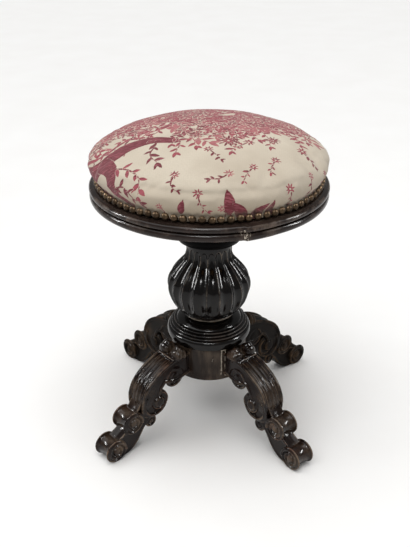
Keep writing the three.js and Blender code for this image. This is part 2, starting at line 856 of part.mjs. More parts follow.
addPiece('leg_hub', legHub(), ebonisedWood);
const legSolid = leg();
legNames.forEach((place, i) => {
  addPiece(`leg_${place}`, legSolid, wornWood, legAngles[i]);
  dowelHeights.forEach((height, row) => {
    addPiece(`dowel_${place}_${row + 1}`, dowel(height), beech, legAngles[i]);
  });
});
addPiece('column_moulding', columnMoulding(), ebonisedWood);
addPiece('column_vase', columnVase(), ebonisedWood);
addPiece('column_capital', columnCapital(), ebonisedWood);
addPiece('screw_nut', screwNut(), iron);
for (let i = 0; i < nutScrewCount; i += 1) {
  addPiece(`nut_screw_${i + 1}`, placedOnNut(nutScrew(), i), screwSteel);
}
addPiece('leather_washer', leatherWasher(), leather);
addPiece('screw_spindle', screwSpindle(), iron);
addPiece('stop_collar', stopCollar(), iron);
addPiece('stop_pin', stopPin(), screwSteel);
addPiece('seat_spider', seatSpider(), iron);
addPiece('spider_pin', spiderPin(), screwSteel);
addPiece('seat_board', seatBoard(), pine);
addPiece('seat_rim', seatRim(), ebonisedWood);
for (let i = 0; i < spiderArmCount; i += 1) {
  const spiderScrew = onSpiderArm(roundHeadScrew(spiderScrewLength, spiderScrewHead), i);
  const rimScrew = onRimLip(roundHeadScrew(rimScrewLength, rimScrewHead), i);
  addPiece(`spider_screw_${i + 1}`, spiderScrew, screwSteel);
  addPiece(`rim_screw_${i + 1}`, rimScrew, screwSteel);
}
addPiece('hair_stuffing', hairStuffing(), hair);
addPiece('cushion_cover', cushionCover(), printedCotton);
addPiece('nail_trim', nailTrim(), bronze);

export default stool;
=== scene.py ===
# %% [markdown]
# # A revolving piano stool
#
# The stool is a Victorian type: a round cushion that goes up and down on an iron screw,
# a fluted column, and four legs carved as scrolls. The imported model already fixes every
# size and every joint. This lesson dresses it: each plain solid that shows gets a finer
# piece in its place, and each surface gets the finish of the real material.

# %% Load the frame
import math
import random

import bmesh
import bpy
import numpy as np
from mathutils import Matrix, Vector


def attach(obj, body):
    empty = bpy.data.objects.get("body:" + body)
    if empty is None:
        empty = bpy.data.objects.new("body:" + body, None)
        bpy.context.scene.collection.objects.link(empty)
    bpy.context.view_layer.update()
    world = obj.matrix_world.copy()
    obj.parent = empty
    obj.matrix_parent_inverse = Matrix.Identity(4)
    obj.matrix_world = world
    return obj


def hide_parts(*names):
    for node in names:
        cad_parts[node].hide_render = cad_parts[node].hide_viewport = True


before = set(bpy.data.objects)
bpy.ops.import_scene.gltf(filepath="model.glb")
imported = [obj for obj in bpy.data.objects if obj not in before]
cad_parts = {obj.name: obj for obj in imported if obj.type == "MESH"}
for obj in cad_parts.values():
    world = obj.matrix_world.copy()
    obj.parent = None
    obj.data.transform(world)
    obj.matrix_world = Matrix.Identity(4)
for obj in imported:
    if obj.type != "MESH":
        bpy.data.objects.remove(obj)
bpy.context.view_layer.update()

# %% [markdown]
# The frame is in metres, but a stool is easier to think about in millimetres. So each
# size below is in millimetres, and is multiplied by MM where a vertex is made.
# They are the sizes of the solid model, from the floor up.

# %% Sizes of the stool, in millimetres
MM = 0.001
TURN = 2 * math.pi
ROUND = 192  # steps round a piece that is turned on the lathe
hub_radius, hub_foot, hub_top = 61.0, 91.5, 149.5
tenon_radius, tenon_foot, tenon_hole = 24.0, 129.5, 24.3
tenon_floor = tenon_foot - 0.3  # the socket is a little deeper than the tenon
moulding_foot, moulding_top, notch_radius = 149.8, 188.2, 36.0
vase_foot, vase_top, vase_radius, vase_neck = 188.5, 314.5, 66.0, 35.6
capital_foot, column_top = 314.8, 357.8
nut_hole, nut_foot, flange_hole, flange_depth = 21.3, 312.5, 34.3, 5.3
rim_foot, rim_top, rim_radius, rim_inner = 391.5, 414.5, 178.0, 160.3
lip_inner, lip_thick = 148.3, 5.7
hem_foot, hem_top, hem_radius = 414.8, 426.4, 166.5
cushion_radius, cushion_full, cushion_top = 173.8, 445.3, 500.2
print("rim", 2 * rim_radius, "mm across, cushion top", cushion_top, "mm above the floor")

# %% [markdown]
# ## The camera
#
# The photograph looks down on the seat from the front. Its view was found from the
# ellipses of the rim, the nails and the mouldings, and from the feet of all four legs:
# the lens stands 1.11 m in front of the column's axis and 0.84 m above the floor.
# Blender measures a lens against a 36 mm sensor along the longer side of the picture.

# %% Camera
def put(name, data):
    """Places a mesh, a camera or a lamp in the scene."""
    obj = bpy.data.objects.new(name, data)
    bpy.context.collection.objects.link(obj)
    return obj


picture_height, focal_pixels = 547, 800.1
distance, height, pitch, swing, aim = 1.11446, 0.84453, 0.48737, 0.0551, 0.00569
camera_data = bpy.data.cameras.new("camera")
camera = put("camera", camera_data)
camera_data.lens = focal_pixels * camera_data.sensor_width / picture_height
camera.location = (distance * math.sin(swing), -distance * math.cos(swing), height)
camera.rotation_euler = (math.pi / 2 - pitch, 0, swing + aim)
bpy.context.scene.camera = camera
print("lens", round(camera_data.lens, 1), "mm")

# %% [markdown]
# ## Helpers for finishes
#
# A colour picked on a screen is an sRGB hex value, and a shader wants linear light, so one
# function turns the first into the second. One more adds a shader node, sets it up, links
# its inputs and gives back one of its outputs, so that a finish reads from top to bottom.
# A number that is the same all over a piece is set on the shader itself. A pattern's scale
# is how often it repeats in a metre, and `every` works it out from a size in millimetres.

# %% Colours and nodes
def linear(hex_code):
    channels = [int(hex_code[i:i + 2], 16) / 255 for i in (1, 3, 5)]
    return (*[c / 12.92 if c <= 0.04045 else ((c + 0.055) / 1.055) ** 2.4 for c in channels], 1)


def every(size):
    """The scale of a pattern that repeats every so many millimetres."""
    return 1 / (size * MM)


def add(material, kind, inputs, out=0, **settings):
    """A string is a colour, and a number in `inputs` is a socket's place in the node. On
    MapRange, 1 and 2 are the range it reads, and 3 and 4 what it gives for them, usually 0
    and 1. On Mix, 0 is the share, 2 and 3 are two numbers, and 6 and 7 two colours."""
    node = material.node_tree.nodes.new("ShaderNode" + kind)
    for name, value in settings.items():
        setattr(node, name, value)
    for name, value in inputs.items():
        if isinstance(value, bpy.types.NodeSocket):
            material.node_tree.links.new(value, node.inputs[name])
        else:
            node.inputs[name].default_value = linear(value) if isinstance(value, str) else value
    return node.outputs[out]


def new_finish(name, **values):
    """A material with these fixed values, and the place on the piece that patterns read."""
    material = bpy.data.materials.new(name)
    material.use_nodes = True
    shader = material.node_tree.nodes["Principled BSDF"]
    for socket, value in values.items():
        shader.inputs[socket.replace("_", " ")].default_value = value
    return material, add(material, "TexCoord", {}, "Object")


def wire(material, **sources):
    shader = material.node_tree.nodes["Principled BSDF"]
    for socket, source in sources.items():
        material.node_tree.links.new(source, shader.inputs[socket.replace("_", " ")])


print("a mid grey in linear light:", round(linear("#808080")[0], 3))

# %% [markdown]
# ## Helpers for pieces
#
# Every turned part is one outline, spun round the stool's axis, as on a lathe. The spin
# closes on itself, so its seam is merged, and then the normals are made to face outwards.
# `smooth_line` runs a soft curve through a few points, as a turner's template does.

# %% Outlines and the lathe
def smooth_line(points, steps):
    """A curve through all the points, with `steps` pieces between each two."""
    p = np.array(points, float)
    p = np.vstack([2 * p[0] - p[1], p, 2 * p[-1] - p[-2]])
    line = []
    for a, b, c, d in zip(p, p[1:], p[2:], p[3:]):
        for t in np.arange(steps) / steps:
            line.append(0.5 * (2 * b + (c - a) * t + (2 * a - 5 * b + 4 * c - d) * t ** 2
                               + (3 * b - a - 3 * c + d) * t ** 3))
    return [tuple(q) for q in line + [p[-2]]]


def round_bead(radius, bulge, foot, top, steps):
    """Half round standing out from `radius` by `bulge`, from foot to top."""
    turn = np.linspace(0, math.pi, steps + 1)
    return [(radius + bulge * math.sin(a), (foot + top) / 2 - (top - foot) / 2 * math.cos(a))
            for a in turn]


def lathe(bm, outline, steps=ROUND, axis=(0, 0, 1), centre=(0, 0, 0)):
    """Spins an outline of (radius, place along the axis), in millimetres."""
    across = Vector((1, 0, 0))
    along, centre = Vector(axis), Vector(centre)
    verts = [bm.verts.new((centre + across * r + along * h) * MM) for r, h in outline]
    edges = [bm.edges.new(pair) for pair in zip(verts, verts[1:])]
    if outline[0][0] and outline[-1][0]:
        edges.append(bm.edges.new((verts[-1], verts[0])))
    bmesh.ops.spin(bm, geom=verts + edges, cent=centre * MM, axis=along, angle=TURN,
                   steps=steps, use_merge=True)


def whole_mesh(bm, name):
    """Closes seams and poles, turns the faces outwards and makes a mesh of them."""
    bmesh.ops.remove_doubles(bm, verts=bm.verts, dist=0.01 * MM)
    bmesh.ops.recalc_face_normals(bm, faces=bm.faces)
    mesh = bpy.data.meshes.new(name)
    bm.to_mesh(mesh)
    bm.free()
    return mesh


print("a bead of radius 2:", round_bead(10, 2, 0, 4, 2))

# %% [markdown]
# Old varnish wears off the ridges and dust stays in the hollows. Blender's pointiness
# depends on how fine a mesh is, so each piece gets its own attribute: `ridge` is how
# sharply the surface bends there, per millimetre, positive on ridges and negative in
# hollows. It is the turn of the normal along each edge, over that edge's length.

# %% Ridges and hollows, and finished pieces
def read(rows, field, width=1, kind=float):
    """One field of all the rows of a mesh, as an array."""
    out = np.zeros(len(rows) * width, kind)
    rows.foreach_get(field, out)
    return out.reshape(-1, width) if width > 1 else out


def store(mesh, **fields):
    """Gives each vertex a number of its own, under the field's name."""
    for name, values in fields.items():
        mesh.attributes.new(name, "FLOAT", "POINT").data.foreach_set("value", values)


def mark_ridges(mesh):
    count = len(mesh.vertices)
    place, normal = read(mesh.vertices, "co", 3), read(mesh.vertices, "normal", 3)
    ends = read(mesh.edges, "vertices", 2, int)
    one, two = ends.T
    step = place[two] - place[one]
    bend = ((normal[two] - normal[one]) * step).sum(1) / np.maximum((step ** 2).sum(1), 1e-9)
    links = np.maximum(np.bincount(ends.ravel(), minlength=count), 1)
    ridge = (np.bincount(one, bend, count) + np.bincount(two, bend, count)) / links * MM
    for _ in range(2):
        near = (np.bincount(one, ridge[two], count) + np.bincount(two, ridge[one], count)) / links
        ridge = (ridge + near) / 2
    store(mesh, ridge=ridge)


def piece(name, shape, body, slot, material, *nodes, crease=40):
    """Puts a bmesh or a mesh in the scene, on its body, in place of its CAD nodes."""
    mesh = whole_mesh(shape, name) if isinstance(shape, bmesh.types.BMesh) else shape
    mesh.polygons.foreach_set("use_smooth", [True] * len(mesh.polygons))
    mesh.set_sharp_from_angle(angle=math.radians(crease))
    mark_ridges(mesh)
    mesh.materials.append(material)
    obj = put(name, mesh)
    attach(obj, body)
    if nodes:
        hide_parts(*nodes)
    print(name, "has", len(mesh.polygons), "faces")
    return obj


# %% [markdown]
# ## Ebonised wood
#
# The column, hub and rim are a plain hardwood stained black and French-polished. The polish
# is a thin clear film (IOR 1.5) over a black ground. It mirrors lamps sharply, though a
# century of handling has dulled it, so its shine is set a little under that of new varnish.
# On the ridges, where hands and shoes rub, it has worn through in patches to brown wood.
# Grain runs up the column: it is drawn 1.5 mm apart, coarser than real pores, to show.
#
# Each piece has its own mix. `edge` and `patch` are the browns on ridges and in broad
# rubbed patches, `wear` is how sharp a ridge has to be to start and to end its wearing
# through, and `dust` is how much grey dust lies on top and in the hollows. `along` draws
# the patches out lengthwise. A `handled` attribute adds brown spots where a piece has one.

# %% Black polish, worn brown on the ridges
def black_polish(name, edge, patch, dust, shine, wear, patchy=0.15, smoothest=0.14,
                 ground=("#060505", "#0f0a08"), steady=0.0, along=1.0, relief_depth=0.1):
    finish, place = new_finish(name, IOR=1.5, Specular_IOR_Level=shine,
                               Coat_Weight=shine * 0.4, Coat_Roughness=0.04)
    stretched = add(finish, "Mapping", {"Vector": place, "Scale": (
        every(1.54), every(1.54), every(16.7))})
    grain = add(finish, "TexNoise", {"Vector": stretched, "Scale": 1.0, "Detail": 4.0})
    drawn_out = add(finish, "Mapping", {"Vector": place, "Scale": (1, 1, along)})
    patches = add(finish, "TexNoise", {"Vector": drawn_out, "Scale": every(26.3),
                                       "Detail": 5.0, "Roughness": 0.65})
    regions = add(finish, "TexNoise", {"Vector": place, "Scale": every(47.6), "Detail": 3.0})
    black = add(finish, "Mix", {0: patches, 6: ground[0], 7: ground[1]}, 2, data_type="RGBA")
    rubbed = add(finish, "MapRange", {"Value": regions, 1: 0.52, 2: 0.66})
    brown = add(finish, "Mix", {0: rubbed, 6: edge, 7: patch}, 2, data_type="RGBA")
    brown = add(finish, "Mix", {0: grain, 6: "#1a100c", 7: brown}, 2, data_type="RGBA")
    ridge = add(finish, "Attribute", {}, "Fac", attribute_name="ridge")
    rub = add(finish, "Math", {0: ridge, 1: add(finish, "MapRange", {
        "Value": patches, 1: 0.38, 2: 0.68, 3: steady, 4: 1.7})}, operation="MULTIPLY")
    bare = add(finish, "MapRange", {"Value": rub, 1: wear[0], 2: wear[1]})
    broad = add(finish, "Math", {0: rubbed, 1: add(finish, "MapRange", {
        "Value": patches, 1: 0.5, 2: 0.7, 4: patchy})}, operation="MULTIPLY")
    handled = add(finish, "Attribute", {}, "Fac", attribute_name="handled")
    spotted = add(finish, "Math", {0: handled, 1: add(finish, "MapRange", {
        "Value": patches, 1: 0.4, 2: 0.62})}, operation="MULTIPLY")
    for more in (broad, spotted):
        bare = add(finish, "Math", {0: bare, 1: more}, operation="MAXIMUM")
    colour = add(finish, "Mix", {0: bare, 6: black, 7: brown}, 2, data_type="RGBA")
    upward = add(finish, "SeparateXYZ", {0: add(finish, "NewGeometry", {}, "Normal")}, "Z")
    settled = add(finish, "MapRange", {"Value": upward, 1: 0.2, 2: 1.0, 4: 0.5})
    hollow = add(finish, "MapRange", {"Value": ridge, 1: -0.08, 2: -0.4})
    dusty_place = add(finish, "Math", {0: settled, 1: hollow}, operation="MAXIMUM")
    thickness = add(finish, "MapRange", {"Value": patches, 1: 0.35, 2: 0.7, 4: dust})
    grey = add(finish, "Math", {0: dusty_place, 1: thickness}, operation="MULTIPLY")
    colour = add(finish, "Mix", {0: grey, 6: colour, 7: "#544a40"}, 2, data_type="RGBA")
    rough = add(finish, "MapRange", {"Value": add(finish, "Math", {0: bare, 1: grey},
                                                  operation="ADD"), 3: smoothest, 4: 0.5})
    bumps = add(finish, "Math", {0: grain, 1: patches}, operation="ADD")
    relief = add(finish, "Bump", {"Height": bumps, "Strength": relief_depth,
                                  "Distance": 0.6 * MM})
    wire(finish, Base_Color=colour, Roughness=rough, Normal=relief)
    return finish


polish = black_polish("ebonised_hardwood_french_polished", edge="#8d8172", patch="#5a4436",
                      dust=0.05, shine=0.2, wear=(0.1, 0.3), steady=0.25, relief_depth=0.2)
turned_polish = black_polish("ebonised_hardwood_turned", edge="#4c423a", patch="#33241c",
                             dust=0.05, shine=0.22, wear=(0.08, 0.4), relief_depth=0.15,
                             ground=("#050404", "#100b09"))
drum_polish = black_polish("ebonised_hardwood_drum", edge="#8a7866", patch="#3c281c", dust=0.2,
                           shine=0.16, wear=(0.04, 0.24), patchy=0.45, smoothest=0.2,
                           ground=("#0f0b08", "#2b1d14"), along=0.16)
rim_wood = black_polish("ebonised_hardwood_rubbed", edge="#8a7768", patch="#5a4036", dust=0.3,
                        shine=0.2, wear=(0.05, 0.24), patchy=0.7, smoothest=0.2,
                        ground=("#120d0b", "#30231e"), relief_depth=0.05)
# The capital's finish: its near-black ground is painted shade, for the shade under the seat, and
# its low shine is that of an unpolished underside.
shaded = black_polish("ebonised_hardwood_unpolished_painted_shade", edge="#1c1714", patch="#14100d",
                      dust=0.1, shine=0.03, wear=(0.1, 0.4), smoothest=0.45,
                      ground=("#020202", "#040303"))
carved = black_polish("ebonised_hardwood_carved_worn", edge="#84705c", patch="#6e4630",
                      dust=0.1, shine=0.18, wear=(0.07, 0.3), patchy=0.1,
                      ground=("#080505", "#20120d"))
dusty = black_polish("ebonised_hardwood_carved_dusty", edge="#66523e", patch="#523c2c",
                     dust=0.45, shine=0.05, wear=(0.06, 0.28), patchy=0.4, smoothest=0.45,
                     ground=("#0c0907", "#19120d"))
print("finishes so far:", polish.name, rim_wood.name, carved.name, dusty.name)

# %% [markdown]
# Two places have been broken and mended with pale filler: a narrow slip let into the front
# of the hub, and a crack across the front of the rim. `mended` copies a finish and lays
# thin ragged lines over it. Each is given by its angle round the column, its sway and its
# thickness, in degrees, and by its lowest and highest level.

# %% Filled cracks
def mended(finish, name, lines):
    copy = finish.copy()
    copy.name = name
    place = add(copy, "TexCoord", {}, "Object")
    x, y, z = add(copy, "SeparateXYZ", {0: place}).node.outputs
    turn = add(copy, "Math", {0: y, 1: x}, operation="ARCTAN2")
    ragged = add(copy, "MapRange", {"Value": add(copy, "TexNoise", {
        "Vector": place, "Scale": every(5.88), "Detail": 4.0}), 3: -1.0, 4: 1.0})
    breaks = add(copy, "TexNoise", {"Vector": place, "Scale": every(3.03), "Detail": 3.0})
    mask = None
    for angle, sway, thick, low, high in lines:
        swayed = add(copy, "Math", {0: ragged, 1: math.radians(sway), 2: turn},
                     operation="MULTIPLY_ADD")
        line = add(copy, "Math", {0: swayed, 1: math.radians(angle),
                                  2: math.radians(thick)}, operation="COMPARE")
        level = add(copy, "Math", {0: z, 1: (low + high) / 2 * MM, 2: (high - low) / 2 * MM},
                    operation="COMPARE")
        line = add(copy, "Math", {0: line, 1: level}, operation="MULTIPLY")
        mask = line if mask is None else add(copy, "Math", {0: mask, 1: line},
                                             operation="MAXIMUM")
    mask = add(copy, "Math", {0: mask, 1: add(copy, "MapRange", {
        "Value": breaks, 1: 0.36, 2: 0.46})}, operation="MULTIPLY")
    ground = copy.node_tree.nodes["Principled BSDF"].inputs["Base Color"].links[0].from_socket
    wire(copy, Base_Color=add(copy, "Mix", {0: mask, 6: ground, 7: "#b5aa9a"}, 2,
                              data_type="RGBA"))
    return copy


hub_polish = mended(drum_polish, "ebonised_hub_with_filled_slip",
                    [(-67.9, 1.6, 0.7, 101, 146), (-61.4, 1.6, 0.75, 97, 148),
                     (-64.5, 0.6, 4.2, 145.6, 147.8), (-82, 9, 0.5, 128, 133)])
rim_polish = mended(rim_wood, "ebonised_rim_with_filled_crack",
                    [(-71.3, 1.6, 0.22, 390, 408.5), (-70.3, 1.9, 0.16, 391, 405),
                     (-72.8, 2.4, 0.14, 401, 407), (-69.2, 2.0, 0.12, 399, 403)])
print("mended finishes:", hub_polish.name, rim_polish.name)

# %% [markdown]
# ## The hub
#
# A plain drum that the legs are dowelled to. On the lathe it is a cylinder with its two
# corners eased. The top has the socket that the column's tenon is glued into.

# %% Hub
ease, half_way = 1.6, 120
bm = bmesh.new()
lathe(bm, [(0, hub_foot), (hub_radius - ease, hub_foot),
           (hub_radius - ease * 0.3, hub_foot + ease * 0.3), (hub_radius, hub_foot + ease),
           (hub_radius, half_way), (hub_radius, hub_top - ease),
           (hub_radius - ease * 0.3, hub_top - ease * 0.3), (hub_radius - ease, hub_top),
           (tenon_hole, hub_top), (tenon_hole, tenon_floor), (0, tenon_floor)])
piece("turned_hub", bm, "base", "ebonised_wood", hub_polish, "leg_hub")

# %% [markdown]
# ## The moulding on the hub
#
# A turner reads a moulding as beads, fillets and hollows. From the foot up there is a large
# half round, three fine rings that step inwards, and a soft shoulder that runs up to the
# notch under the vase. Each is a few points of the outline. The fine rings catch the light.

# %% Moulding
foot = moulding_foot
bm = bmesh.new()
lathe(bm, [(tenon_hole, foot), (63.2, foot),
           *round_bead(63.2, 4.4, foot, foot + 16.4, 14), (62.2, foot + 16.8),
           *round_bead(61.8, 1.6, foot + 17.2, foot + 20.2, 8), (59.4, foot + 20.6),
           *round_bead(58.8, 1.5, foot + 21.0, foot + 24.0, 8), (55.4, foot + 24.4),
           *round_bead(54.8, 1.4, foot + 24.8, foot + 27.6, 8), (51.8, foot + 28.0),
           *smooth_line([(51.4, foot + 28.8), (48.8, foot + 31), (45, foot + 33),
                         (41.4, foot + 34.6), (38.2, foot + 36), (36.6, foot + 37.2),
                         (notch_radius, moulding_top)], 4),
           (tenon_hole, moulding_top)])
piece("turned_moulding", bm, "base", "ebonised_wood", turned_polish, "column_moulding",
      crease=30)

# %% [markdown]
# ## The fluted vase
#
# Twenty hollow flutes are cut down a baluster shape. First the bulb is turned with many
# rows and steps, and then each vertex is pushed in by how deep the gouge went there: a
# round-bottomed cut, widest at the belly, with rounded ends and a thin flat left between
# two flutes. Moving vertices keeps one clean surface, which a boolean cut wouldn't. A small
# collar bead runs round the vase's foot, below the flutes.

# %% Vase
flutes, flute_depth, end_rise, flat_share = 20, 4.9, 11.0, 0.08
steps_per_flute, collar_top, screw_hole, tenon_cap = 16, 6.4, 19, 5
vase_height = vase_top - vase_foot
vase_shape = [(0, 0.01), (0.07, 0.4), (0.15, 0.68), (0.25, 0.88), (0.38, 1), (0.49, 0.93),
              (0.585, 0.71), (0.68, 0.39), (0.755, 0.13), (0.84, 0.01), (0.9, 0), (0.935, 0),
              (1, 0)]
collar = [(39.4, vase_foot), *round_bead(39.8, 2.6, vase_foot + 0.3, vase_foot + 4.6, 8),
          (40.2, vase_foot + 5.2)]
vase_outline = [(vase_neck + (vase_radius - vase_neck) * out, vase_foot + up * vase_height)
                for up, out in smooth_line(vase_shape, 9) if up * vase_height > collar_top]
bm = bmesh.new()
lathe(bm, [(0, tenon_foot), (tenon_radius, tenon_foot), (tenon_radius, vase_foot),
           *collar, *vase_outline, (nut_hole, vase_top), (nut_hole, nut_foot),
           (screw_hole, nut_foot), (screw_hole, vase_foot + tenon_cap),
           (0, vase_foot + tenon_cap)], steps=flutes * steps_per_flute)
flute_foot, flute_top = vase_foot + 0.165 * vase_height, vase_foot + 0.935 * vase_height
for vert in bm.verts:
    radius, level = math.hypot(vert.co.x, vert.co.y) / MM, vert.co.z / MM
    inside = min(level - flute_foot, flute_top - level)
    if radius < (tenon_radius + vase_neck) / 2 or inside <= 0:
        continue
    rise = min(inside / end_rise, 1)
    width = (1 - flat_share) * math.sqrt(1 - (1 - rise) ** 2)
    turn = math.atan2(vert.co.y, vert.co.x) / TURN * flutes
    across = abs(2 * (turn % 1) - 1)  # 0 in the middle of a flute, 1 on a ridge
    cut = max(0, 1 - (across / width) ** 2) * width if width > 0 else 0
    pushed = 1 - flute_depth * cut * (radius / vase_radius) ** 0.7 / radius
    vert.co.x *= pushed
    vert.co.y *= pushed
piece("fluted_vase", bm, "base", "ebonised_wood", polish, "column_vase", crease=28)

# %% [markdown]
# ## The capital
#
# The column's top spreads under the seat in a cove, a fillet and one large bead. It is
# bored for the iron nut, whose flange is let in flush.

# %% Capital
foot, fillet_radius, neck_radius = capital_foot, 48.9, 42
bm = bmesh.new()
lathe(bm, [(nut_hole, foot),
           *smooth_line([(vase_neck, foot), (38.5, foot + 1.2), (48.5, foot + 3.8)], 5),
           (fillet_radius, foot + 4.1), (fillet_radius, foot + 6.4),
           *round_bead(fillet_radius, 5.1, foot + 6.6, foot + 23.6, 16),
           (neck_radius + 0.4, foot + 23.8), (neck_radius, foot + 24.4),
           (neck_radius, column_top - 0.5), (neck_radius - 0.5, column_top),
           (flange_hole, column_top), (flange_hole, column_top - flange_depth),
           (nut_hole, column_top - flange_depth)])
# The capital takes the finish with painted shade, darker than the vase's polish.
piece("turned_capital", bm, "base", "ebonised_wood", shaded, "column_capital", crease=30)

# %% [markdown]
# ## Iron and steel
#
# The screw, its nut and the four-armed spider are forged and cast iron, left black from the
# fire and oiled. The crests of the thread are rubbed bright by the nut. Small screws and
# pins are duller drawn steel. Both are metals, so colour sits in their reflection. The
# casting's skin has a grain of about 2 mm, drawn here as fine bumps.

# %% Metal finishes
def two_tone(material, share, dark, bright, rough_by, rough, height, strength, depth):
    """Ends a finish: one colour turning into another, with its roughness and fine relief,
    whose depth is in millimetres."""
    wire(material,
         Base_Color=add(material, "Mix", {0: share, 6: dark, 7: bright}, 2, data_type="RGBA"),
         Roughness=add(material, "MapRange", {"Value": rough_by, 3: rough[0], 4: rough[1]}),
         Normal=add(material, "Bump", {"Height": height, "Strength": strength,
                                       "Distance": depth * MM}))
    return material


def bare_metal(name, dark, bright, rough, grain):
    finish, place = new_finish(name, Metallic=1.0)
    skin = add(finish, "TexNoise", {"Vector": place, "Scale": every(grain), "Detail": 6.0})
    stain = add(finish, "TexNoise", {"Vector": place, "Scale": every(18.2), "Detail": 3.0})
    ridge = add(finish, "Attribute", {}, "Fac", attribute_name="ridge")
    rubbed = add(finish, "MapRange", {"Value": ridge, 1: 0.1, 2: 0.5})
    shade = add(finish, "Math", {0: add(finish, "MapRange", {
        "Value": stain, 1: 0.35, 2: 0.7, 4: 0.45}), 1: rubbed}, operation="ADD",
        use_clamp=True)
    return two_tone(finish, shade, dark, bright, rough_by=shade, rough=rough, height=skin,
                    strength=0.25, depth=0.4)


iron = bare_metal("black_cast_iron_oiled", "#2b2826", "#6d6660", (0.6, 0.35), 2.0)
steel = bare_metal("drawn_steel_dull", "#5e5850", "#a39c90", (0.5, 0.3), 1.2)
bronze = bare_metal("antique_bronze_nail_heads", "#1e1711", "#6f5c48", (0.5, 0.28), 3.0)
print("metals:", iron.name, steel.name, bronze.name)

# %% [markdown]
# The washer between column and seat is a disc of greased harness leather. Its grain is
# small rounded cells about 1 mm across, which a Voronoi pattern gives.

# %% Leather
leather, place = new_finish("greased_harness_leather", IOR=1.45)
cells = add(leather, "TexVoronoi", {"Vector": place, "Scale": every(1.11)}, "Distance")
tone = add(leather, "TexNoise", {"Vector": place, "Scale": every(14.3), "Detail": 4.0})
two_tone(leather, tone, "#2e1a0f", "#6b4427", rough_by=tone, rough=(0.45, 0.75),
         height=cells, strength=0.3, depth=0.5)
print("made", leather.name)

# %% [markdown]
# ## The screw
#
# One turn of the thread rises 12 mm and lifts the seat as much. A spin with a step along
# the axis sweeps the thread's section into a helix, and each turn meets the next, so the
# seams merge. Two planes cut the helix level. The plain shank on top goes into the spider,
# and the plain tail carries the stop collar.

# %% Screw
pitch, root, crest, screw_foot, thread_foot, shoulder, screw_top = (
    12.0, 11.5, 14.0, 198.3, 210.6, 361.1, 396.3)
thread_section = [(root, -6.0), (root, -3.8), (13.7, -2.2), (crest, -1.6), (crest, 1.6),
                  (13.7, 2.2), (root, 3.8), (root, 6.0)]
tail_radius, shank_radius, turns, steps_per_turn = 9, 12, 15, 40
first = (math.floor(thread_foot / pitch) - 1) * pitch
bm = bmesh.new()
verts = [bm.verts.new(Vector((r, 0, first + h)) * MM) for r, h in thread_section]
edges = [bm.edges.new(pair) for pair in zip(verts, verts[1:])]
bmesh.ops.spin(bm, geom=verts + edges, axis=(0, 0, 1), angle=turns * TURN,
               steps=turns * steps_per_turn, dvec=(0, 0, pitch * MM / steps_per_turn))
bmesh.ops.remove_doubles(bm, verts=bm.verts, dist=0.02 * MM)
for level, way in ((thread_foot, -1), (shoulder, 1)):
    cut = bmesh.ops.bisect_plane(bm, geom=bm.verts[:] + bm.edges[:] + bm.faces[:],
                                 plane_co=(0, 0, level * MM), plane_no=(0, 0, way),
                                 clear_outer=True)
    rim_edges = [e for e in cut["geom_cut"] if isinstance(e, bmesh.types.BMEdge)]
    bmesh.ops.edgeloop_fill(bm, edges=rim_edges)
ease, gap = 0.6, 0.05
lathe(bm, [(0, screw_foot), (tail_radius - ease, screw_foot), (tail_radius, screw_foot + ease),
           (tail_radius, thread_foot - gap), (0, thread_foot - gap)], steps=48)
lathe(bm, [(0, shoulder + gap), (shank_radius, shoulder + gap),
           (shank_radius, screw_top - ease), (shank_radius - ease, screw_top),
           (0, screw_top)], steps=48)
piece("iron_screw", bm, "seat", "iron", iron, "screw_spindle", crease=30)

# %% [markdown]
# ## The rim of the seat
#
# A ring of the same ebonised wood hides the edge of the pine board. It is two beads with a
# groove between them, as the photograph shows, and a lip underneath that is screwed to the
# board. The beads are nearly half round, and the polish on their crowns is rubbed brown.
# At the crack the right-hand end has sprung out and down by a millimetre.

# %% Rim
groove, split = 173.8, rim_foot + 12.0
crack, sprung, sprung_out, sprung_down = -71, 16, 0.008, 0.9  # in degrees, a share and mm
bm = bmesh.new()
lathe(bm, [(lip_inner, rim_foot), (groove - 1.0, rim_foot),
           *round_bead(groove, 3.6, rim_foot + 0.4, split - 0.9, 12),
           (groove - 1.4, split - 0.6), (groove - 1.4, split + 0.5),
           *round_bead(groove, 4.0, split + 0.8, rim_top - 1.4, 12),
           (groove - 1.2, rim_top - 1.0), (171.4, rim_top - 0.3), (170.4, rim_top),
           (rim_inner, rim_top), (rim_inner, rim_foot + lip_thick),
           (lip_inner, rim_foot + lip_thick)], steps=256)
for vert in bm.verts:
    past = math.degrees(math.atan2(vert.co.y, vert.co.x)) - crack
    if 0 < past < sprung and math.hypot(vert.co.x, vert.co.y) > (groove - 1.8) * MM:
        vert.co.xy *= 1 + sprung_out * (1 - past / sprung)
        vert.co.z -= sprung_down * (1 - past / sprung) * MM
piece("moulded_rim", bm, "seat", "ebonised_wood", rim_polish, "seat_rim", crease=30)

# %% [markdown]
# ## Upholstery nails
#
# Domed nails, 11 mm across, hold the cover's hem in one close row. Each is a low dome with
# a thin flat flange, spun about its own shank. They were driven by hand, so each sits a
# little off its place and a little tilted. The random numbers are seeded, to repeat.

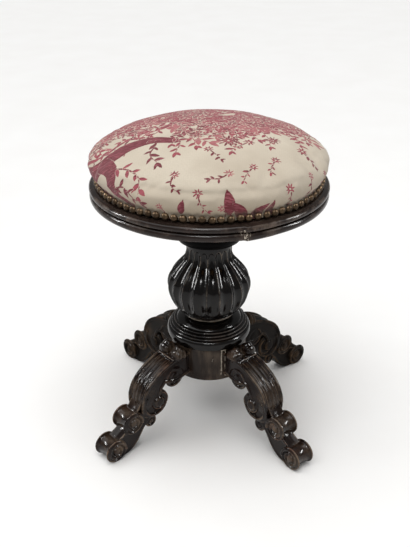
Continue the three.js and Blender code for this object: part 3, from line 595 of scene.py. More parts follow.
# %% Nails
nail_count, nail_radius, nail_level, nail_ring = 84, 5.5, 420.7, 166.9
dome = [(nail_radius, 0), (nail_radius, 0.5)] + [
    (nail_radius * 0.94 * math.cos(a), 0.6 + 3.1 * math.sin(a))
    for a in np.linspace(0.12, math.pi / 2, 6)]
dome[-1] = (0, dome[-1][1])
hand = random.Random(84)
bm = bmesh.new()
for i in range(nail_count):
    before = set(bm.verts)
    lathe(bm, [(0, 0), *dome], steps=18)
    head = [v for v in bm.verts if v not in before]
    tilt = Matrix.Rotation(hand.uniform(-0.09, 0.09), 4, "X") @ Matrix.Rotation(
        hand.uniform(-0.05, 0.13), 4, "Y")
    place = Matrix.Translation(Vector((nail_ring + hand.uniform(0, 0.5), 0,
                                       nail_level + hand.uniform(-0.45, 0.45))) * MM)
    swing_to = Matrix.Rotation((i + hand.uniform(-0.05, 0.05)) * TURN / nail_count, 4, "Z")
    bmesh.ops.transform(bm, verts=head, matrix=swing_to @ place @ tilt @ Matrix.Rotation(
        math.pi / 2, 4, "Y"))
piece("upholstery_nails", bm, "seat", "nail_bronze", bronze, "nail_trim", crease=50)

# %% [markdown]
# ## The scroll legs
#
# Each leg is sawn from a plank as a double scroll, and then carved. A carver works from
# the outline in: the broad upper scroll is swept from the hub out and down into its
# curl, with reeds along its back, and a narrower lower scroll runs from it to the toe.
# Here a ring of points is the section of the wood at one place. The ring is extruded from
# place to place along two curves, the outer edge and the inner edge of the scroll.

# %% Sweeping a section along a scroll
def grow(bm, rings):
    """Extrudes the first ring of points to each next one, and closes both ends."""
    verts = [bm.verts.new(p) for p in rings[0]]
    edges = [bm.edges.new(pair) for pair in zip(verts, verts[1:] + verts[:1])]
    bmesh.ops.edgeloop_fill(bm, edges=edges)
    for points in rings[1:]:
        grown = bmesh.ops.extrude_edge_only(bm, edges=edges)["geom"]
        fresh = {v for v in grown if isinstance(v, bmesh.types.BMVert)}
        verts = [next(e.other_vert(v) for e in v.link_edges if e.other_vert(v) in fresh)
                 for v in verts]
        for vert, point in zip(verts, points):
            vert.co = point
        edges = [bm.edges.get(pair) for pair in zip(verts, verts[1:] + verts[:1])]
    bmesh.ops.edgeloop_fill(bm, edges=edges)


def swept_scroll(bm, outer_line, inner_line, half_width, back, band, recess, thinned=0):
    """`back` is the outer face: pairs of (place across, depth below the edge). `thinned` is
    how much of the width the last third of the scroll loses."""
    outer_line, inner_line = smooth_line(outer_line, 5), smooth_line(inner_line, 5)
    rings = []
    for number, (outer, inner) in enumerate(zip(outer_line, inner_line)):
        outer, inner = Vector((outer[0], 0, outer[1])), Vector((inner[0], 0, inner[1]))
        thick = (inner - outer).length
        inward = (inner - outer) / thick
        edge = min(band, thick * 0.3)
        side = [(half_width, edge), (half_width - recess, edge + recess * 0.8),
                (half_width - recess, thick - edge - recess * 0.8),
                (half_width, thick - edge), (half_width, thick)]
        section = back + side + [(-y, d) for y, d in reversed(side)]
        late = max(0, number / len(outer_line) - 0.62) / 0.38
        narrow = 1 - thinned * min(1, late * 2.2)
        rings.append([(outer + inward * d + Vector((0, y * narrow, 0))) * MM
                      for y, d in section])
    grow(bm, rings)


lobe_half, stem_half = 20.0, 12.5
reed = [(math.sin(a), math.cos(a)) for a in np.linspace(-math.pi / 2, math.pi / 2, 7)]
reeded_back = [(-lobe_half, 0.8), (-19.2, 0), (-16.4, 0), (-15.6, 0.8), (-15.0, 3.2),
               (-13.8, 3.6), (-12.6, 2.6), (-11.6, 1.6)]
for middle in (-7.4, 0.0, 7.4):
    crown = 1.3 if middle else 0.5
    reeded_back += [(middle - 3.7, crown + 3.6)]
    reeded_back += [(middle + 3.0 * s, crown + 1.7 - 1.7 * c) for s, c in reed]
reeded_back += [(11.1, 4.9)]
reeded_back += [(-y, d) for y, d in reversed(reeded_back[:8])]
stem_back = [(-stem_half, 0.4), (-12.0, 0), (-10.4, 0), (-9.4, 1.2), (-5, 2.6), (0, 3.0),
             (5, 2.6), (9.4, 1.2), (10.4, 0), (12.0, 0), (stem_half, 0.4)]
print("points across the reeded back:", len(reeded_back))

# %% [markdown]
# The curls where a scroll ends are rolled up like paper. Seen from outside, such a roll is
# a pulley with a hollow throat, so it is an outline spun about an axis across the leg. On
# both of its faces the roll is carved as a spiral that winds in to a small round eye: a
# half-round ridge swept along a spiral, thinner towards the eye.

# %% Rolled curls and their spirals
steps_in_a_turn = 26


def rolled_curl(bm, centre, radius, half_width, throat, eye, stands=1.2, steps=56):
    face = [(0, half_width + stands), (eye * 0.7, half_width + stands - 0.3),
            (eye * 0.95, half_width + stands - 1.3),
            (eye, half_width - 2.2), (radius - 3.6, half_width - 2.2),
            (radius - 3.0, half_width - 0.2), (radius - 2.4, half_width),
            (radius - 0.8, half_width), (radius, half_width - 0.9),
            (radius, half_width - 2.4)]
    hollow = [(radius - throat * math.cos(a) ** 0.8, (half_width - 2.6) * math.sin(a))
              for a in np.linspace(math.pi / 2 - 0.15, 0, 6)]
    half = face + hollow
    lathe(bm, half + [(r, -h) for r, h in reversed(half[:-1])], steps, axis=(0, 1, 0),
          centre=(centre[0], 0, centre[1]))


def spiral_ridge(bm, centre, start, radius, end_radius, turns, level, thick):
    """A half-round cord on both faces of a curl, from its edge in to its eye."""
    count = int(steps_in_a_turn * turns)
    for side in (-1, 1):
        rings = []
        for i in range(count + 1):
            share = i / count
            angle = math.radians(start) - TURN * turns * share
            far = radius + (end_radius - radius) * share ** 0.8
            out = Vector((math.cos(angle), 0, math.sin(angle)))
            middle = Vector((centre[0], side * level, centre[1])) + out * far
            cord = thick * (1 - 0.45 * share)
            rings.append([(middle + out * cord * math.cos(a) +
                           Vector((0, side * cord * math.sin(a), 0))) * MM
                          for a in np.linspace(0, TURN, 9)[:-1]])
        grow(bm, rings)


print("a spiral of one turn has", steps_in_a_turn, "steps")

# %% [markdown]
# Where the leg meets the hub, two three-lobed buds sit on its crest behind a small cross
# bead. All curls and both scrolls overlap, as in the solid model. A voxel remesh at 0.9 mm
# melts them into one closed skin with the small soft fillets that a carver's gouge leaves.

# %% One leg, lying in the plane of its scrolls
def baked(obj):
    """The mesh that an object's modifiers make."""
    return bpy.data.meshes.new_from_object(
        obj.evaluated_get(bpy.context.evaluated_depsgraph_get()))


def sized(centre, size):
    """Moves a unit shape to a centre and stretches it, in millimetres."""
    return Matrix.Translation(Vector(centre) * MM) @ Matrix.Diagonal((*Vector(size) * MM, 1))


crook, knob, boss, hub_curl = (125.8, 74.0), (118.0, 75.5), (122.6, 76.2), (88.2, 106.4)
knee, toe, barb, crest_roll = (169.8, 55.0), (204.6, 19.2), (133.8, 40.0), (71.0, 140.5)
bud_across, bud_level = 13.4, 144.0
# the edges of both scrolls, as (out, up)
lobe_outer = [(54, 141.2), (72, 141.4), (88.7, 139.6), (103, 135.8), (115.3, 130.4),
              (127.5, 123.4), (138.1, 115.1), (145.5, 106), (150.5, 95.9), (153.4, 86),
              (154.2, 75.5), (153.2, 65), (149.4, 57), (141, 51.6), (130, 50)]
lobe_inner = [(54, 103.6), (69, 101), (82, 98.6), (95, 100), (106, 104), (112.5, 99.5),
              (116.5, 93), (119, 87), (121, 82.5), (123, 79.5), (124.5, 77), (125.4, 75.5),
              (125.7, 74.5), (125.8, 74), (125.8, 73.5)]
stem_outer = [(148, 90), (155.5, 78), (163, 68.5), (170, 58), (176, 49.5), (183, 43),
              (190, 38.8), (197.5, 34.6), (205, 29), (210, 21), (212.5, 12)]
stem_inner = [(128, 66), (130.2, 56), (133, 47), (141, 41), (147.6, 34), (153, 26),
              (160, 16), (169, 7.6), (178.5, 2.6), (188, 0.2), (200, 0)]
bm = bmesh.new()
swept_scroll(bm, lobe_outer, lobe_inner, lobe_half, reeded_back, 4.2, 2.4, thinned=0.14)
swept_scroll(bm, stem_outer, stem_inner, stem_half, stem_back, 3.2, 1.2)
rolled_curl(bm, crook, 24.0, 16.6, 1.6, 8.0, stands=0)
rolled_curl(bm, knob, 15.8, 18.4, 1.2, 8.0, stands=0)
rolled_curl(bm, boss, 9.4, 21.0, 0.6, 8.8, stands=2.0)
rolled_curl(bm, hub_curl, 17.6, 18.2, 1.5, 9.4, stands=0.6)
rolled_curl(bm, knee, 19.0, 16.2, 5.4, 5.8, stands=1.6)
rolled_curl(bm, toe, 19.2, 16.4, 5.4, 6.0, stands=1.6)
rolled_curl(bm, barb, 10.6, 12.5, 1.6, 4.0, steps=32)
rolled_curl(bm, crest_roll, 9.0, 16.5, 4.6, 4.4, stands=0.5, steps=40)
spiral_ridge(bm, knee, 200, 17.2, 8.4, 1.25, 15.2, 3.1)
spiral_ridge(bm, toe, 190, 17.4, 8.4, 1.3, 15.4, 3.1)
spiral_ridge(bm, crook, 40, 22.4, 20.4, 0.62, 16.6, 2.9)
spiral_ridge(bm, hub_curl, 60, 15.8, 13.6, 0.9, 17.6, 1.6)
for side in (-1, 1):
    for along, up, long, deep in ((76.6, 0.4, 6.4, 12.6), (69.4, -2, 5.6, 9.6),
                                  (83.2, -1.4, 5.4, 9.8)):
        bmesh.ops.create_uvsphere(bm, u_segments=24, v_segments=16, radius=1, matrix=sized(
            (along, side * bud_across, bud_level + up), (long, 10.2, deep)))
    bmesh.ops.create_uvsphere(bm, u_segments=20, v_segments=12, radius=1,
                              matrix=sized((82.6, side * 15.4, 148.2), (4.4, 4.4, 4.6)))
bmesh.ops.create_cone(bm, cap_ends=True, segments=16, radius1=1.7, radius2=1.7, depth=37,
                      matrix=sized((91, 0, 139.4), (1, 1, 1))
                      @ Matrix.Rotation(math.pi / 2, 4, "X"))
bmesh.ops.create_cube(bm, size=1, matrix=sized((198.4, 0, 4.4), (21.5, 22, 8.8)))
rough_leg = put("rough_leg", whole_mesh(bm, "rough_leg"))
melt = rough_leg.modifiers.new("melt together", "REMESH")
melt.mode, melt.voxel_size = "VOXEL", 0.9 * MM
leg_mesh = baked(rough_leg)
bpy.data.objects.remove(rough_leg)
print("one leg has", len(leg_mesh.polygons), "faces, spans",
      [round(float(s), 4) for s in np.ptp(read(leg_mesh.vertices, "co", 3), axis=0)])

# %% [markdown]
# Two rounds of smoothing take off the voxels' steps, and the part that would reach into
# the hub is pressed flat against the hub's round side. Shoes and hands rub a leg most on
# its knee, its toe and the buds, so those places are marked as handled: the polish there
# has brown patches. Then the finished leg is turned to its four places, 90 degrees apart.
# The two back legs are cleaned less often, so they are dusty.

# %% Four legs
bm = bmesh.new()
bm.from_mesh(leg_mesh)
for _ in range(2):
    bmesh.ops.smooth_vert(bm, verts=bm.verts, factor=0.5, use_axis_x=True, use_axis_y=True,
                          use_axis_z=True)
joint_radius = (hub_radius + 0.3) * MM
for vert in bm.verts:
    vert.co.z = max(vert.co.z, 0)
    reach = math.hypot(vert.co.x, vert.co.y)
    if reach < joint_radius:
        vert.co.x = math.sqrt(joint_radius ** 2 - vert.co.y ** 2)
bm.to_mesh(leg_mesh)
bm.free()
in_plane = read(leg_mesh.vertices, "co", 3)[:, ::2] / MM
handled = np.zeros(len(in_plane))
for centre, reach, most in ((knee, 19, 0.9), (toe, 19, 0.9), ((76.6, 146), 13, 1.0),
                            ((148, 92), 26, 0.45), ((112, 134), 16, 0.3)):
    far = np.hypot(*(in_plane - centre).T)
    handled = np.maximum(handled, most * np.clip(1.6 - 1.6 * far / reach, 0, 1))
store(leg_mesh, handled=handled)
for place, quarters in (("front_left", -3), ("front_right", -1), ("back_right", 1),
                        ("back_left", 3)):
    turned_leg = leg_mesh.copy()
    turned_leg.transform(Matrix.Rotation(quarters * math.pi / 4, 4, "Z"))
    piece(f"scroll_leg_{place}", turned_leg, "base", "carved_leg_wood",
          dusty if place.startswith("back") else carved, f"leg_{place}", crease=60)

# %% [markdown]
# ## The cushion
#
# Curled hair under printed cotton, drawn down and nailed. Cloth filled from inside keeps
# its own soft unevenness, so a simulation makes it: the cover starts a little small, is
# remeshed to even squares, and is blown up with its hem pinned. What the simulation moved
# is then added to the true outline, so that the cushion keeps its measured size.

# %% The cover's outline
def cover_outline(inset):
    foot = hem_radius - inset
    side = [(foot + (cushion_radius - hem_radius) * math.sin(math.pi / 2 * t),
             hem_top + (cushion_full - hem_top) * t) for t in np.linspace(0, 1, 7)[1:]]
    crown = []
    for a in np.linspace(0, math.pi / 2, 26)[1:-1]:
        share = math.cos(a)
        rise = (1 - share ** 1.9) ** (1 / 1.84)
        crown.append(((cushion_radius - inset) * share,
                      cushion_full + (cushion_top - cushion_full - inset) * rise))
    return [(0, hem_foot), (foot - 1, hem_foot), (foot, hem_foot + 1), (foot, hem_top),
            *side, *crown, (0, cushion_top - inset)]


start_inset = 3.0
bm = bmesh.new()
lathe(bm, cover_outline(start_inset), steps=128)
small_cover = put("small_cover", whole_mesh(bm, "small_cover"))
squares = small_cover.modifiers.new("even squares", "REMESH")
squares.mode, squares.voxel_size = "VOXEL", 6 * MM
print("outline has", len(cover_outline(0)), "points")

# %% Fill it
small_cover.data = baked(small_cover)
small_cover.modifiers.clear()
before = read(small_cover.data.vertices, "co", 3)
hem = small_cover.vertex_groups.new(name="hem")
hem.add([i for i, p in enumerate(before) if p[2] < hem_top * MM], 1.0, "REPLACE")
settings = small_cover.modifiers.new("cotton", "CLOTH").settings
settings.use_pressure = True
settings.uniform_pressure_force = 4.0
settings.mass = 0.3
settings.tension_stiffness = 15
settings.bending_stiffness = 0.5
settings.vertex_group_mass = "hem"
settings.effector_weights.gravity = 0
for moment in range(1, 21):
    bpy.context.scene.frame_set(moment)
filled = baked(small_cover)
small_cover.modifiers.clear()
small_cover.vertex_groups.clear()
bpy.context.scene.frame_set(1)
after = read(filled.vertices, "co", 3)
moved = np.linalg.norm(after - before, axis=1)
print("vertices:", len(before), "moved at most", round(moved.max() / MM, 1), "mm")

# %% [markdown]
# Each vertex is looked up on the start outline, to know how far round the cover's section
# it lies. The same place on the true outline is where it belongs, and only what the
# simulation did differently from its neighbours round the ring is kept: the soft dents and
# swells.

# %% Put it on the true outline
def measured(outline):
    """Even steps along an outline, with each step's distance from the crown."""
    line = np.array(outline)
    along = np.concatenate([[0], np.cumsum(np.linalg.norm(np.diff(line, axis=0), axis=1))])
    share = np.linspace(0, 1, len(line))
    even = np.linspace(0, 1, 600)
    points = np.stack([np.interp(even, share, line[:, k]) for k in (0, 1)], 1)
    return points, along[-1] - np.interp(even, share, along)


start_line, _ = measured(cover_outline(start_inset))
true_line, from_crown = measured(cover_outline(0))
reach = np.hypot(before[:, 0], before[:, 1]) / MM
level = before[:, 2] / MM
nearest = np.array([((start_line - spot) ** 2).sum(1).argmin()
                    for spot in np.stack([reach, level], 1)])
around = np.arctan2(before[:, 1], before[:, 0])
away = np.stack([np.cos(around), np.sin(around)], 1)
true_place = np.column_stack([true_line[nearest, :1] * away, true_line[nearest, 1]])
drift = (after - before) / MM
ring_of = nearest // 12  # 50 rings round the cushion
outward = (drift[:, :2] * away).sum(1)
count_in = np.maximum(np.bincount(ring_of), 1)
mean_out = (np.bincount(ring_of, outward) / count_in)[ring_of]
mean_up = (np.bincount(ring_of, drift[:, 2]) / count_in)[ring_of]
own = np.column_stack([(outward - mean_out)[:, None] * away, drift[:, 2] - mean_up])
size, most = np.linalg.norm(own, axis=1), 3.0
own *= (np.minimum(size, most) / np.maximum(size, 1e-6))[:, None]
free = np.clip((true_place[:, 2] - hem_top) / 12, 0, 1)
place_mm = true_place + own * free[:, None]
print("the simulation's own unevenness is up to", round(float(size.max()), 1), "mm")

# %% [markdown]
# The print lies on the flat cloth, so each vertex also gets its place on the cloth: the
# distance from the crown along the cover, in its own direction. It is stored before the
# mesh is made finer, because subdividing carries attributes along.

# %% Finer mesh, with its place on the cloth
flat_place = from_crown[nearest, None] * away
cover_mesh = small_cover.data.copy()
bpy.data.objects.remove(small_cover)
cover_mesh.vertices.foreach_set("co", (place_mm * MM).ravel())
store(cover_mesh, cloth_across=flat_place[:, 0], cloth_away=flat_place[:, 1])
coarse = put("coarse_cover", cover_mesh)
finer = coarse.modifiers.new("finer", "SUBSURF")
finer.levels = finer.render_levels = 2
cover_mesh = baked(coarse)
bpy.data.objects.remove(coarse)
cloth = np.stack([read(cover_mesh.attributes[name].data, "value")
                  for name in ("cloth_across", "cloth_away")], 1)
print("cover has", len(cover_mesh.vertices), "vertices")

# %% [markdown]
# Nails pull the cloth in, so it puckers: short fine folds run up from between the nails and
# die out within about 20 mm, and a few longer ones start where the cloth was pulled
# harder. The vertices just above the hem are moved in and out by a seeded wave. The hair
# has also settled: the left shoulder is fuller, the front is flatter, and a soft crease
# runs along the front where the edge roll ends.

# %% Puckers above the nails
spots = read(cover_mesh.vertices, "co", 3) / MM
around = np.arctan2(spots[:, 1], spots[:, 0])
above = spots[:, 2] - (nail_level + nail_radius)
pull = random.Random(5)
fold = 0.35 * np.cos(nail_count * around) * np.exp(-np.clip(above, 0, 99) / 7)
for _ in range(46):
    where, wide, tall, deep = (pull.uniform(-math.pi, math.pi), pull.uniform(0.009, 0.022),
                               pull.uniform(9, 26), pull.uniform(-2.2, 0.9))
    off = (around - where + math.pi) % TURN - math.pi
    fold += deep * np.exp(-(off / wide) ** 2) * np.exp(-np.clip(above, 0, 99) / tall)
fold -= 1.6 * np.exp(-(np.clip(above, -20, 99) / 5.0) ** 2)
fold *= (above > -8) & (spots[:, 2] < cushion_full + 20)
shoulder_band = np.sin(math.pi * np.clip((spots[:, 2] - hem_top) / 56, 0, 1)) ** 1.5
outward = fold.copy()
for degrees, spread, out in ((-158, 0.6, 4.0), (-14, 0.5, 1.4), (-88, 0.4, -1.6)):
    off = (around - math.radians(degrees) + math.pi) % TURN - math.pi
    outward += out * shoulder_band * np.exp(-(off / spread) ** 2)
in_front = np.exp(-((around + math.pi / 2) / 0.75) ** 2)
for level, out, tall in ((456, -2.8, 4.5), (466, 1.6, 7)):
    outward += out * in_front * np.exp(-((spots[:, 2] - level) / tall) ** 2)
store(cover_mesh, fold=fold)
spots[:, :2] += outward[:, None] * np.stack([np.cos(around), np.sin(around)], 1)
cover_mesh.vertices.foreach_set("co", (spots * MM).ravel())
cover_mesh.update()
print("deepest pucker", round(float(-fold.min()), 1), "mm")

# %% [markdown]
# ## The print
#
# The cotton is printed in crimson, rose and pink, as many toiles are. This one is a plain
# design of our own: leafy boughs over the crown, one thick branch on the left, and loose
# sprigs and daisies in front. Each ink is a distance field: how far, in millimetres, each
# vertex lies inside the nearest printed shape. The shader cuts the field at zero, which
# gives crisp edges even between vertices.

# %% Printing tools
inks = {name: np.full(len(cloth), -9.0) for name in ("crimson", "rose", "pink")}
draw = random.Random(21)


def print_shape(ink, middle, size, inside, margin=0.42):
    """inside(x, y) is the distance inside a shape, at places measured from its middle.
    A thin line round the shape stays bare, as an engraver leaves it."""
    near = np.flatnonzero(((cloth - middle) ** 2).sum(1) < size ** 2)
    x, y = (cloth[near] - middle).T
    depth = inside(x, y)
    for field in inks.values():
        field[near] = np.minimum(field[near], -depth - margin)
    inks[ink][near] = np.maximum(inks[ink][near], depth)


def brush(ink, points, wide, narrow, margin=0.5):
    """A stroke through the points, which runs from `wide` to `narrow`."""
    line = np.array(smooth_line(points, 6))
    width = np.linspace(wide, narrow, len(line)) / 2
    middle = line.mean(0)

    def inside(x, y):
        depth = np.full(len(x), -9.0)
        for a, b, w in zip(line - middle, line[1:] - middle, width):
            step = b - a
            along = np.clip(((x - a[0]) * step[0] + (y - a[1]) * step[1]) / (step @ step), 0, 1)
            far = np.hypot(x - a[0] - along * step[0], y - a[1] - along * step[1])
            depth = np.maximum(depth, w - far)
        return depth
    reach = np.linalg.norm(line - middle, axis=1).max() + wide
    print_shape(ink, middle, reach, inside, margin)
    return line


def leaf(ink, base, angle, length, width):
    """Pointed at both ends, and widest nearer its base."""
    c, s = math.cos(angle), math.sin(angle)

    def inside(x, y):
        along, across = (x * c + y * s) / length, -x * s + y * c
        body = width / 2 * np.sin(math.pi * np.clip(along, 0, 1) ** 0.8)
        return np.where((along > 0) & (along < 1), body - np.abs(across), -3.0)
    print_shape(ink, base, length + 2, inside)


def daisy(ink, middle, radius, petals=8):
    twist = draw.uniform(0, TURN)
    print_shape(ink, middle, radius * 1.4, lambda x, y: np.minimum(
        radius * (0.66 + 0.34 * np.cos(petals * (np.arctan2(y, x) + twist))) - np.hypot(x, y),
        np.hypot(x, y) - radius * 0.2) * 0.8)


def bough(stem, leaves, points, wide, leaf_length, spacing):
    """A stem with leaves to its left and right in turn, that lean forward by 0.9 radians."""
    line = brush(stem, points, wide, 1.4, 0.2)
    gone, side, lean = 0, 1, 0.9
    for a, b in zip(line, line[1:]):
        gone += np.hypot(*(b - a))
        if gone > spacing:
            gone, side = 0, -side
            heading = math.atan2(*(b - a)[::-1]) + side * lean + draw.uniform(-0.25, 0.25)
            long = leaf_length * draw.uniform(0.75, 1.2)
            leaf(leaves, b, heading, long, long * draw.uniform(0.3, 0.42))
    leaf(leaves, line[-1], math.atan2(*(line[-1] - line[-2])[::-1]), leaf_length,
         leaf_length * 0.38)


def wander(start, heading, length, bend):
    """Five points along a line that bends as it goes, a little unevenly."""
    points = [np.array(start, float)]
    for _ in range(4):
        points.append(points[-1] + length / 4 * np.array([math.cos(heading), math.sin(heading)]))
        heading += bend + draw.uniform(-0.15, 0.15)
    return points


print("ready to print on", len(cloth), "vertices")

# %% Foliage over the crown
def scattered(middle, spread):
    turn, far = draw.uniform(0, TURN), math.sqrt(draw.uniform(0, 1))
    return (middle[0] + spread[0] * far * math.cos(turn),
            middle[1] + spread[1] * far * math.sin(turn))


over_crown, left_shoulder = ((-14, 62), (150, 104)), ((-176, 4), (46, 50))
for ink, where, count, long in (("pink", over_crown, 44, 80), ("rose", over_crown, 40, 60),
                                ("pink", left_shoulder, 10, 70)):
    for _ in range(count):
        brush(ink, wander(scattered(*where), draw.uniform(-0.2, 1.1), long,
                          draw.uniform(-0.4, 0.4)), draw.uniform(8, 15), 3, 0.6)
for ink, leaf_ink, where, count, length, leaf_length in (
        ("pink", "pink", over_crown, 30, 80, 19), ("rose", "rose", over_crown, 56, 66, 14),
        ("crimson", "rose", over_crown, 18, 60, 12), ("rose", "rose", left_shoulder, 12, 50, 13),
        ("crimson", "crimson", left_shoulder, 5, 60, 8),
        ("rose", "rose", over_crown, 52, 56, 12), ("crimson", "crimson", over_crown, 16, 44, 8)):
    for _ in range(count):
        bough(ink, leaf_ink, wander(scattered(*where), draw.uniform(0, TURN), length,
                                    draw.uniform(-0.6, 0.6)), 2.2, leaf_length, 6)
print("foliage printed")

# %% The branch on the left
brush("crimson", [(-200, -66), (-172, -88), (-142, -86), (-112, -66), (-78, -58), (-44, -66)],
      38, 14)
brush("crimson", [(-144, -88), (-130, -112), (-134, -142), (-120, -174)], 25, 9)
brush("crimson", [(-172, -90), (-174, -122), (-158, -154), (-152, -186)], 20, 9)
brush("rose", [(-188, -48), (-160, -62), (-136, -58), (-108, -36)], 7, 4)
for points, ink in (([(-84, -46), (-70, -70), (-76, -96), (-64, -118)], "crimson"),
                    ([(-116, -52), (-104, -24), (-112, 0)], "rose"),
                    ([(-50, -52), (-28, -44), (-12, -26)], "crimson"),
                    ([(-128, -108), (-104, -120), (-88, -140), (-92, -166)], "rose"),
                    ([(-134, -140), (-112, -146), (-98, -176)], "crimson"),
                    ([(-50, -52), (-36, -72), (-40, -98)], "rose")):
    bough("crimson", ink, points, 3.4, 15, 7)
print("branch printed")

# %% Sprigs, daisies and blossoms in front
for middle, radius, ink in (((4, -92), 8, "rose"), ((58, -64), 9, "rose"), ((96, -96), 8, "rose"),
                            ((34, -142), 8, "pink"), ((-6, -178), 8, "rose"),
                            ((134, -52), 9, "rose"), ((150, -96), 7, "pink"),
                            ((66, -122), 7, "rose"), ((-38, -146), 8, "rose"),
                            ((122, -138), 8, "rose"), ((-66, -190), 7, "pink"),
                            ((30, -196), 7, "pink"), ((176, -66), 7, "rose")):
    daisy(ink, middle, radius)
    heading = draw.uniform(-2.4, -0.7)
    bough("crimson", draw.choice(("rose", "crimson")),
          wander((middle[0] + 5 * math.cos(heading), middle[1] + 5 * math.sin(heading)), heading,
                 24, draw.uniform(-0.4, 0.4)), 2.4, 9, 6)
for middle, radius in (((30, -66), 17), ((92, -44), 12), ((-14, -50), 12)):
    daisy("crimson", middle, radius, 11)
    daisy("rose", middle, radius * 0.6, 7)
for base, angle, length in (((46, -206), 1.9, 40), ((78, -210), 2.5, 44), ((84, -208), 1.2, 42),
                            ((116, -196), 1.9, 36), ((-36, -208), 1.2, 26)):
    leaf("crimson", np.array(base), angle, length, length * 0.44)
for name, field in inks.items():
    store(cover_mesh, **{f"ink_{name}": field})
    print(name, "covers", round(100 * float((field > 0).mean())), "% of the cloth")

# %% [markdown]
# The cover's UV map is its place on the flat cloth, in metres. The weave and the engraved
# strokes follow the cloth with it, over the crown and down the sides.

# %% UV map of the flat cloth
uv_map = cover_mesh.uv_layers.new(name="flat_cloth")
corner = read(cover_mesh.loops, "vertex_index", kind=int)
uv_map.data.foreach_set("uv", (cloth[corner] * MM).ravel())
print("cloth reaches", round(float(np.abs(cloth).max())), "mm from the crown")

# %% [markdown]
# ## Printed cotton
#
# A plain weave of cream cotton, matt with a faint fuzz, so it has sheen and no gloss. Real
# threads are 0.5 mm apart; they are drawn 2.8 mm apart, so that they show. The print is
# engraved: fine dark strokes run through pink and rose, and light ones through crimson.
# Years of light and dust have greyed the cloth in blotches. Its lower side is painted darker
# as painted shade, and so are the bottoms of the puckers and the band just above the nails.

# %% Cotton finish
cotton, place = new_finish("plain_weave_cotton_printed", IOR=1.5, Sheen_Weight=0.1,
                           Sheen_Roughness=0.5)
flat = add(cotton, "UVMap", {}, uv_map="flat_cloth")
WAVE = math.pi / 10  # metres from band to band in a wave texture of scale 1
warp, weft = (add(cotton, "TexWave", {"Vector": flat, "Scale": WAVE * every(2.805),
                                      "Distortion": 0.6},
                  "Fac", bands_direction=way) for way in "XY")
weave = add(cotton, "Math", {0: warp, 1: weft}, operation="MULTIPLY")
slub = add(cotton, "TexNoise", {"Vector": flat, "Scale": every(2.38), "Detail": 3.0})
stain = add(cotton, "TexNoise", {"Vector": place, "Scale": every(71.4), "Detail": 5.0})
# Painted shade: `low` paints the cloth darker on its lower side, from 470 mm down to 430 mm above
# the floor. It is taken with the real blotchy stains into one share.
low = add(cotton, "MapRange", {"Value": add(cotton, "SeparateXYZ", {0: place}, "Z"),
                               1: 0.47, 2: 0.43})
stains_and_painted_shade = add(cotton, "Math", {0: add(cotton, "MapRange", {
    "Value": stain, 1: 0.42, 2: 0.75, 4: 0.5}), 1: low}, operation="MAXIMUM")
cream = add(cotton, "Mix", {0: stains_and_painted_shade, 6: "#cbc0ae", 7: "#a59682"}, 2, data_type="RGBA")
slubby = add(cotton, "MapRange", {"Value": slub, 1: 0.35, 2: 0.7, 4: 0.35})
cream = add(cotton, "Mix", {0: slubby, 6: cream, 7: "#b9ad99"}, 2, data_type="RGBA")
fray = add(cotton, "MapRange", {"Value": slub, 3: -0.5, 4: 0.5})
strokes = add(cotton, "TexNoise", {"Vector": add(cotton, "Mapping", {
    "Vector": flat, "Rotation": (0, 0, -0.5), "Scale": (every(12.5), every(1.923), 1)}),
    "Scale": 1.0, "Detail": 2.0, "Distortion": 0.6})
colour = cream
for ink, solid, engraved, drawn in (("pink", "#a96264", "#7a2a3a", 0.85),
                                    ("rose", "#963c49", "#560f22", 0.85),
                                    ("crimson", "#640a20", "#ad5a66", 0.5)):
    field = add(cotton, "Attribute", {}, "Fac", attribute_name=f"ink_{ink}")
    edge = add(cotton, "Math", {0: field, 1: fray}, operation="ADD")
    printed = add(cotton, "MapRange", {"Value": edge, 1: -0.2, 2: 0.25})
    lines = add(cotton, "MapRange", {"Value": strokes, 1: 0.5, 2: 0.62, 4: drawn})
    shade = add(cotton, "Mix", {0: lines, 6: solid, 7: engraved}, 2, data_type="RGBA")
    colour = add(cotton, "Mix", {0: printed, 6: colour, 7: shade}, 2, data_type="RGBA")
# Painted shade: the gaps between the threads are painted a little darker.
gaps = add(cotton, "MapRange", {"Value": weave, 3: 0.06, 4: 0.0})
# Painted shade: where the fold attribute is deepest, in the bottoms of the puckers and in the
# band just above the nails, the cloth is painted darker.
pucker = add(cotton, "MapRange", {"Value": add(cotton, "Attribute", {}, "Fac",
                                               attribute_name="fold"),
                                  1: -0.5, 2: -1.8, 4: 0.55})
for share, dark in ((gaps, "#7d705e"), (pucker, "#5e5243")):
    colour = add(cotton, "Mix", {0: share, 6: colour, 7: dark}, 2, data_type="RGBA")
rough = add(cotton, "MapRange", {"Value": slub, 3: 0.85, 4: 0.98})
relief = add(cotton, "Bump", {"Height": weave, "Strength": 0.15, "Distance": 0.4 * MM})
wire(cotton, Base_Color=colour, Roughness=rough, Normal=relief)
cushion = piece("printed_cushion", cover_mesh, "seat", "printed_cotton", cotton,
                "cushion_cover", "hair_stuffing", crease=180)

# %% [markdown]
# ## Hidden parts keep their CAD shape
#
# The nut, the spider, the board, the dowels and the screws hardly show, and their plain
# solids are right. Their objects stay as they are, and only get a real finish.

# %% Pine and beech
def bare_wood(name, pale, dark, ring):
    finish, place = new_finish(name, IOR=1.5)
    rings = add(finish, "TexWave", {"Vector": place, "Scale": WAVE * every(ring),
                                    "Distortion": 4.0, "Detail": 3.0}, "Fac",
                bands_direction="Y")
    pores = add(finish, "TexNoise", {"Vector": add(finish, "Mapping", {
        "Vector": place, "Scale": (every(16.7), every(1.11), every(1.11))}),
        "Scale": 1.0, "Detail": 3.0})
    figure = add(finish, "Mix", {0: 0.35, 2: rings, 3: pores})
    return two_tone(finish, figure, pale, dark, rough_by=pores, rough=(0.55, 0.75),
                    height=figure, strength=0.15, depth=0.4)


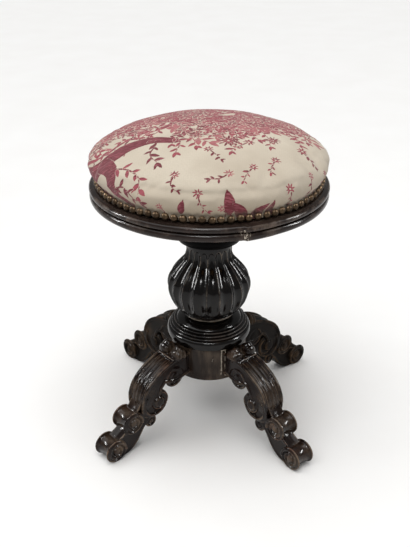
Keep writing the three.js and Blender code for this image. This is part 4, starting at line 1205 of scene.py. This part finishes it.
pine = bare_wood("pine_board_planed", "#caa06a", "#8f6435", 4.0)
beech = bare_wood("beech_dowel", "#cda577", "#a87a4c", 2.0)
finish_of = {"screw_nut": iron, "stop_collar": iron, "seat_spider": iron, "seat_board": pine,
             "leather_washer": leather}
for name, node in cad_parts.items():
    if node.hide_render:
        continue
    finish = finish_of.get(name, beech if name.startswith("dowel") else steel)
    for slot in node.material_slots:
        slot.material = finish
print("kept CAD nodes:", [n for n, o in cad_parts.items() if not o.hide_render])

# %% [markdown]
# ## Floor and light
#
# The photograph was taken on a white studio sweep: the floor fills the whole view. The
# polish shows what stands round it, so the lamps are soft boxes. A narrow one on either
# side and a flat one high in front only make the short crisp highlights on reeds and
# flutes. A broad one overhead and an even light from above do the lighting. Past the
# floor's edge, the world is as pale as the floor to the camera, and dimmer as a light.

# %% Floor
floor_finish, place = new_finish("painted_studio_floor", Roughness=0.85)
mottle = add(floor_finish, "TexNoise", {"Vector": place, "Scale": every(167), "Detail": 3.0})
wire(floor_finish, Base_Color=add(floor_finish, "Mix", {
    0: mottle, 6: "#f4f3f1", 7: "#fafaf9"}, 2, data_type="RGBA"))
bm = bmesh.new()
bmesh.ops.create_grid(bm, x_segments=1, y_segments=1, size=12)
floor_mesh = whole_mesh(bm, "studio_floor")
floor_mesh.materials.append(floor_finish)
floor = put("studio_floor", floor_mesh)
print("floor laid")

# %% Lights
def soft_box(name, place, aim_at, width, depth, watts, glint=False):
    """A glint lamp is only seen mirrored in polish; it adds nothing to the even light."""
    lamp = bpy.data.lights.new(name, "AREA")
    lamp.shape, lamp.size, lamp.size_y, lamp.energy = "RECTANGLE", width, depth, watts
    stand = put(name, lamp)
    stand.location = place
    stand.rotation_euler = (Vector(aim_at) - Vector(place)).to_track_quat("-Z", "Y").to_euler()
    stand.visible_diffuse = not glint


soft_box("overhead box", (0.1, -0.3, 2.3), (0, 0, 0.3), 1.2, 0.8, 9)
soft_box("front top box", (0.0, -1.7, 1.9), (0, 0, 0.25), 0.8, 0.12, 26, glint=True)
soft_box("left box", (-1.5, -0.1, 0.95), (0, 0, 0.2), 0.1, 0.7, 22, glint=True)
soft_box("right box", (1.5, -0.1, 1.05), (0, 0, 0.2), 0.09, 0.7, 22, glint=True)
sun = bpy.data.lights.new("even top light", "SUN")
sun.energy, sun.angle = 2.25, math.radians(70)
sun_stand = put("even top light", sun)
sun_stand.rotation_euler = (math.radians(8), math.radians(-12), 0)
world = bpy.data.worlds.new("studio")
bpy.context.scene.world = world
world.use_nodes = True
backdrop = world.node_tree.nodes["Background"]
backdrop.inputs["Color"].default_value = linear("#f6f6f6")
to_camera = add(world, "LightPath", {}, "Is Camera Ray")
strength = add(world, "MapRange", {"Value": to_camera, 3: 0.32, 4: 1.0})
world.node_tree.links.new(strength, backdrop.inputs["Strength"])
bpy.context.scene.view_settings.view_transform = "Standard"
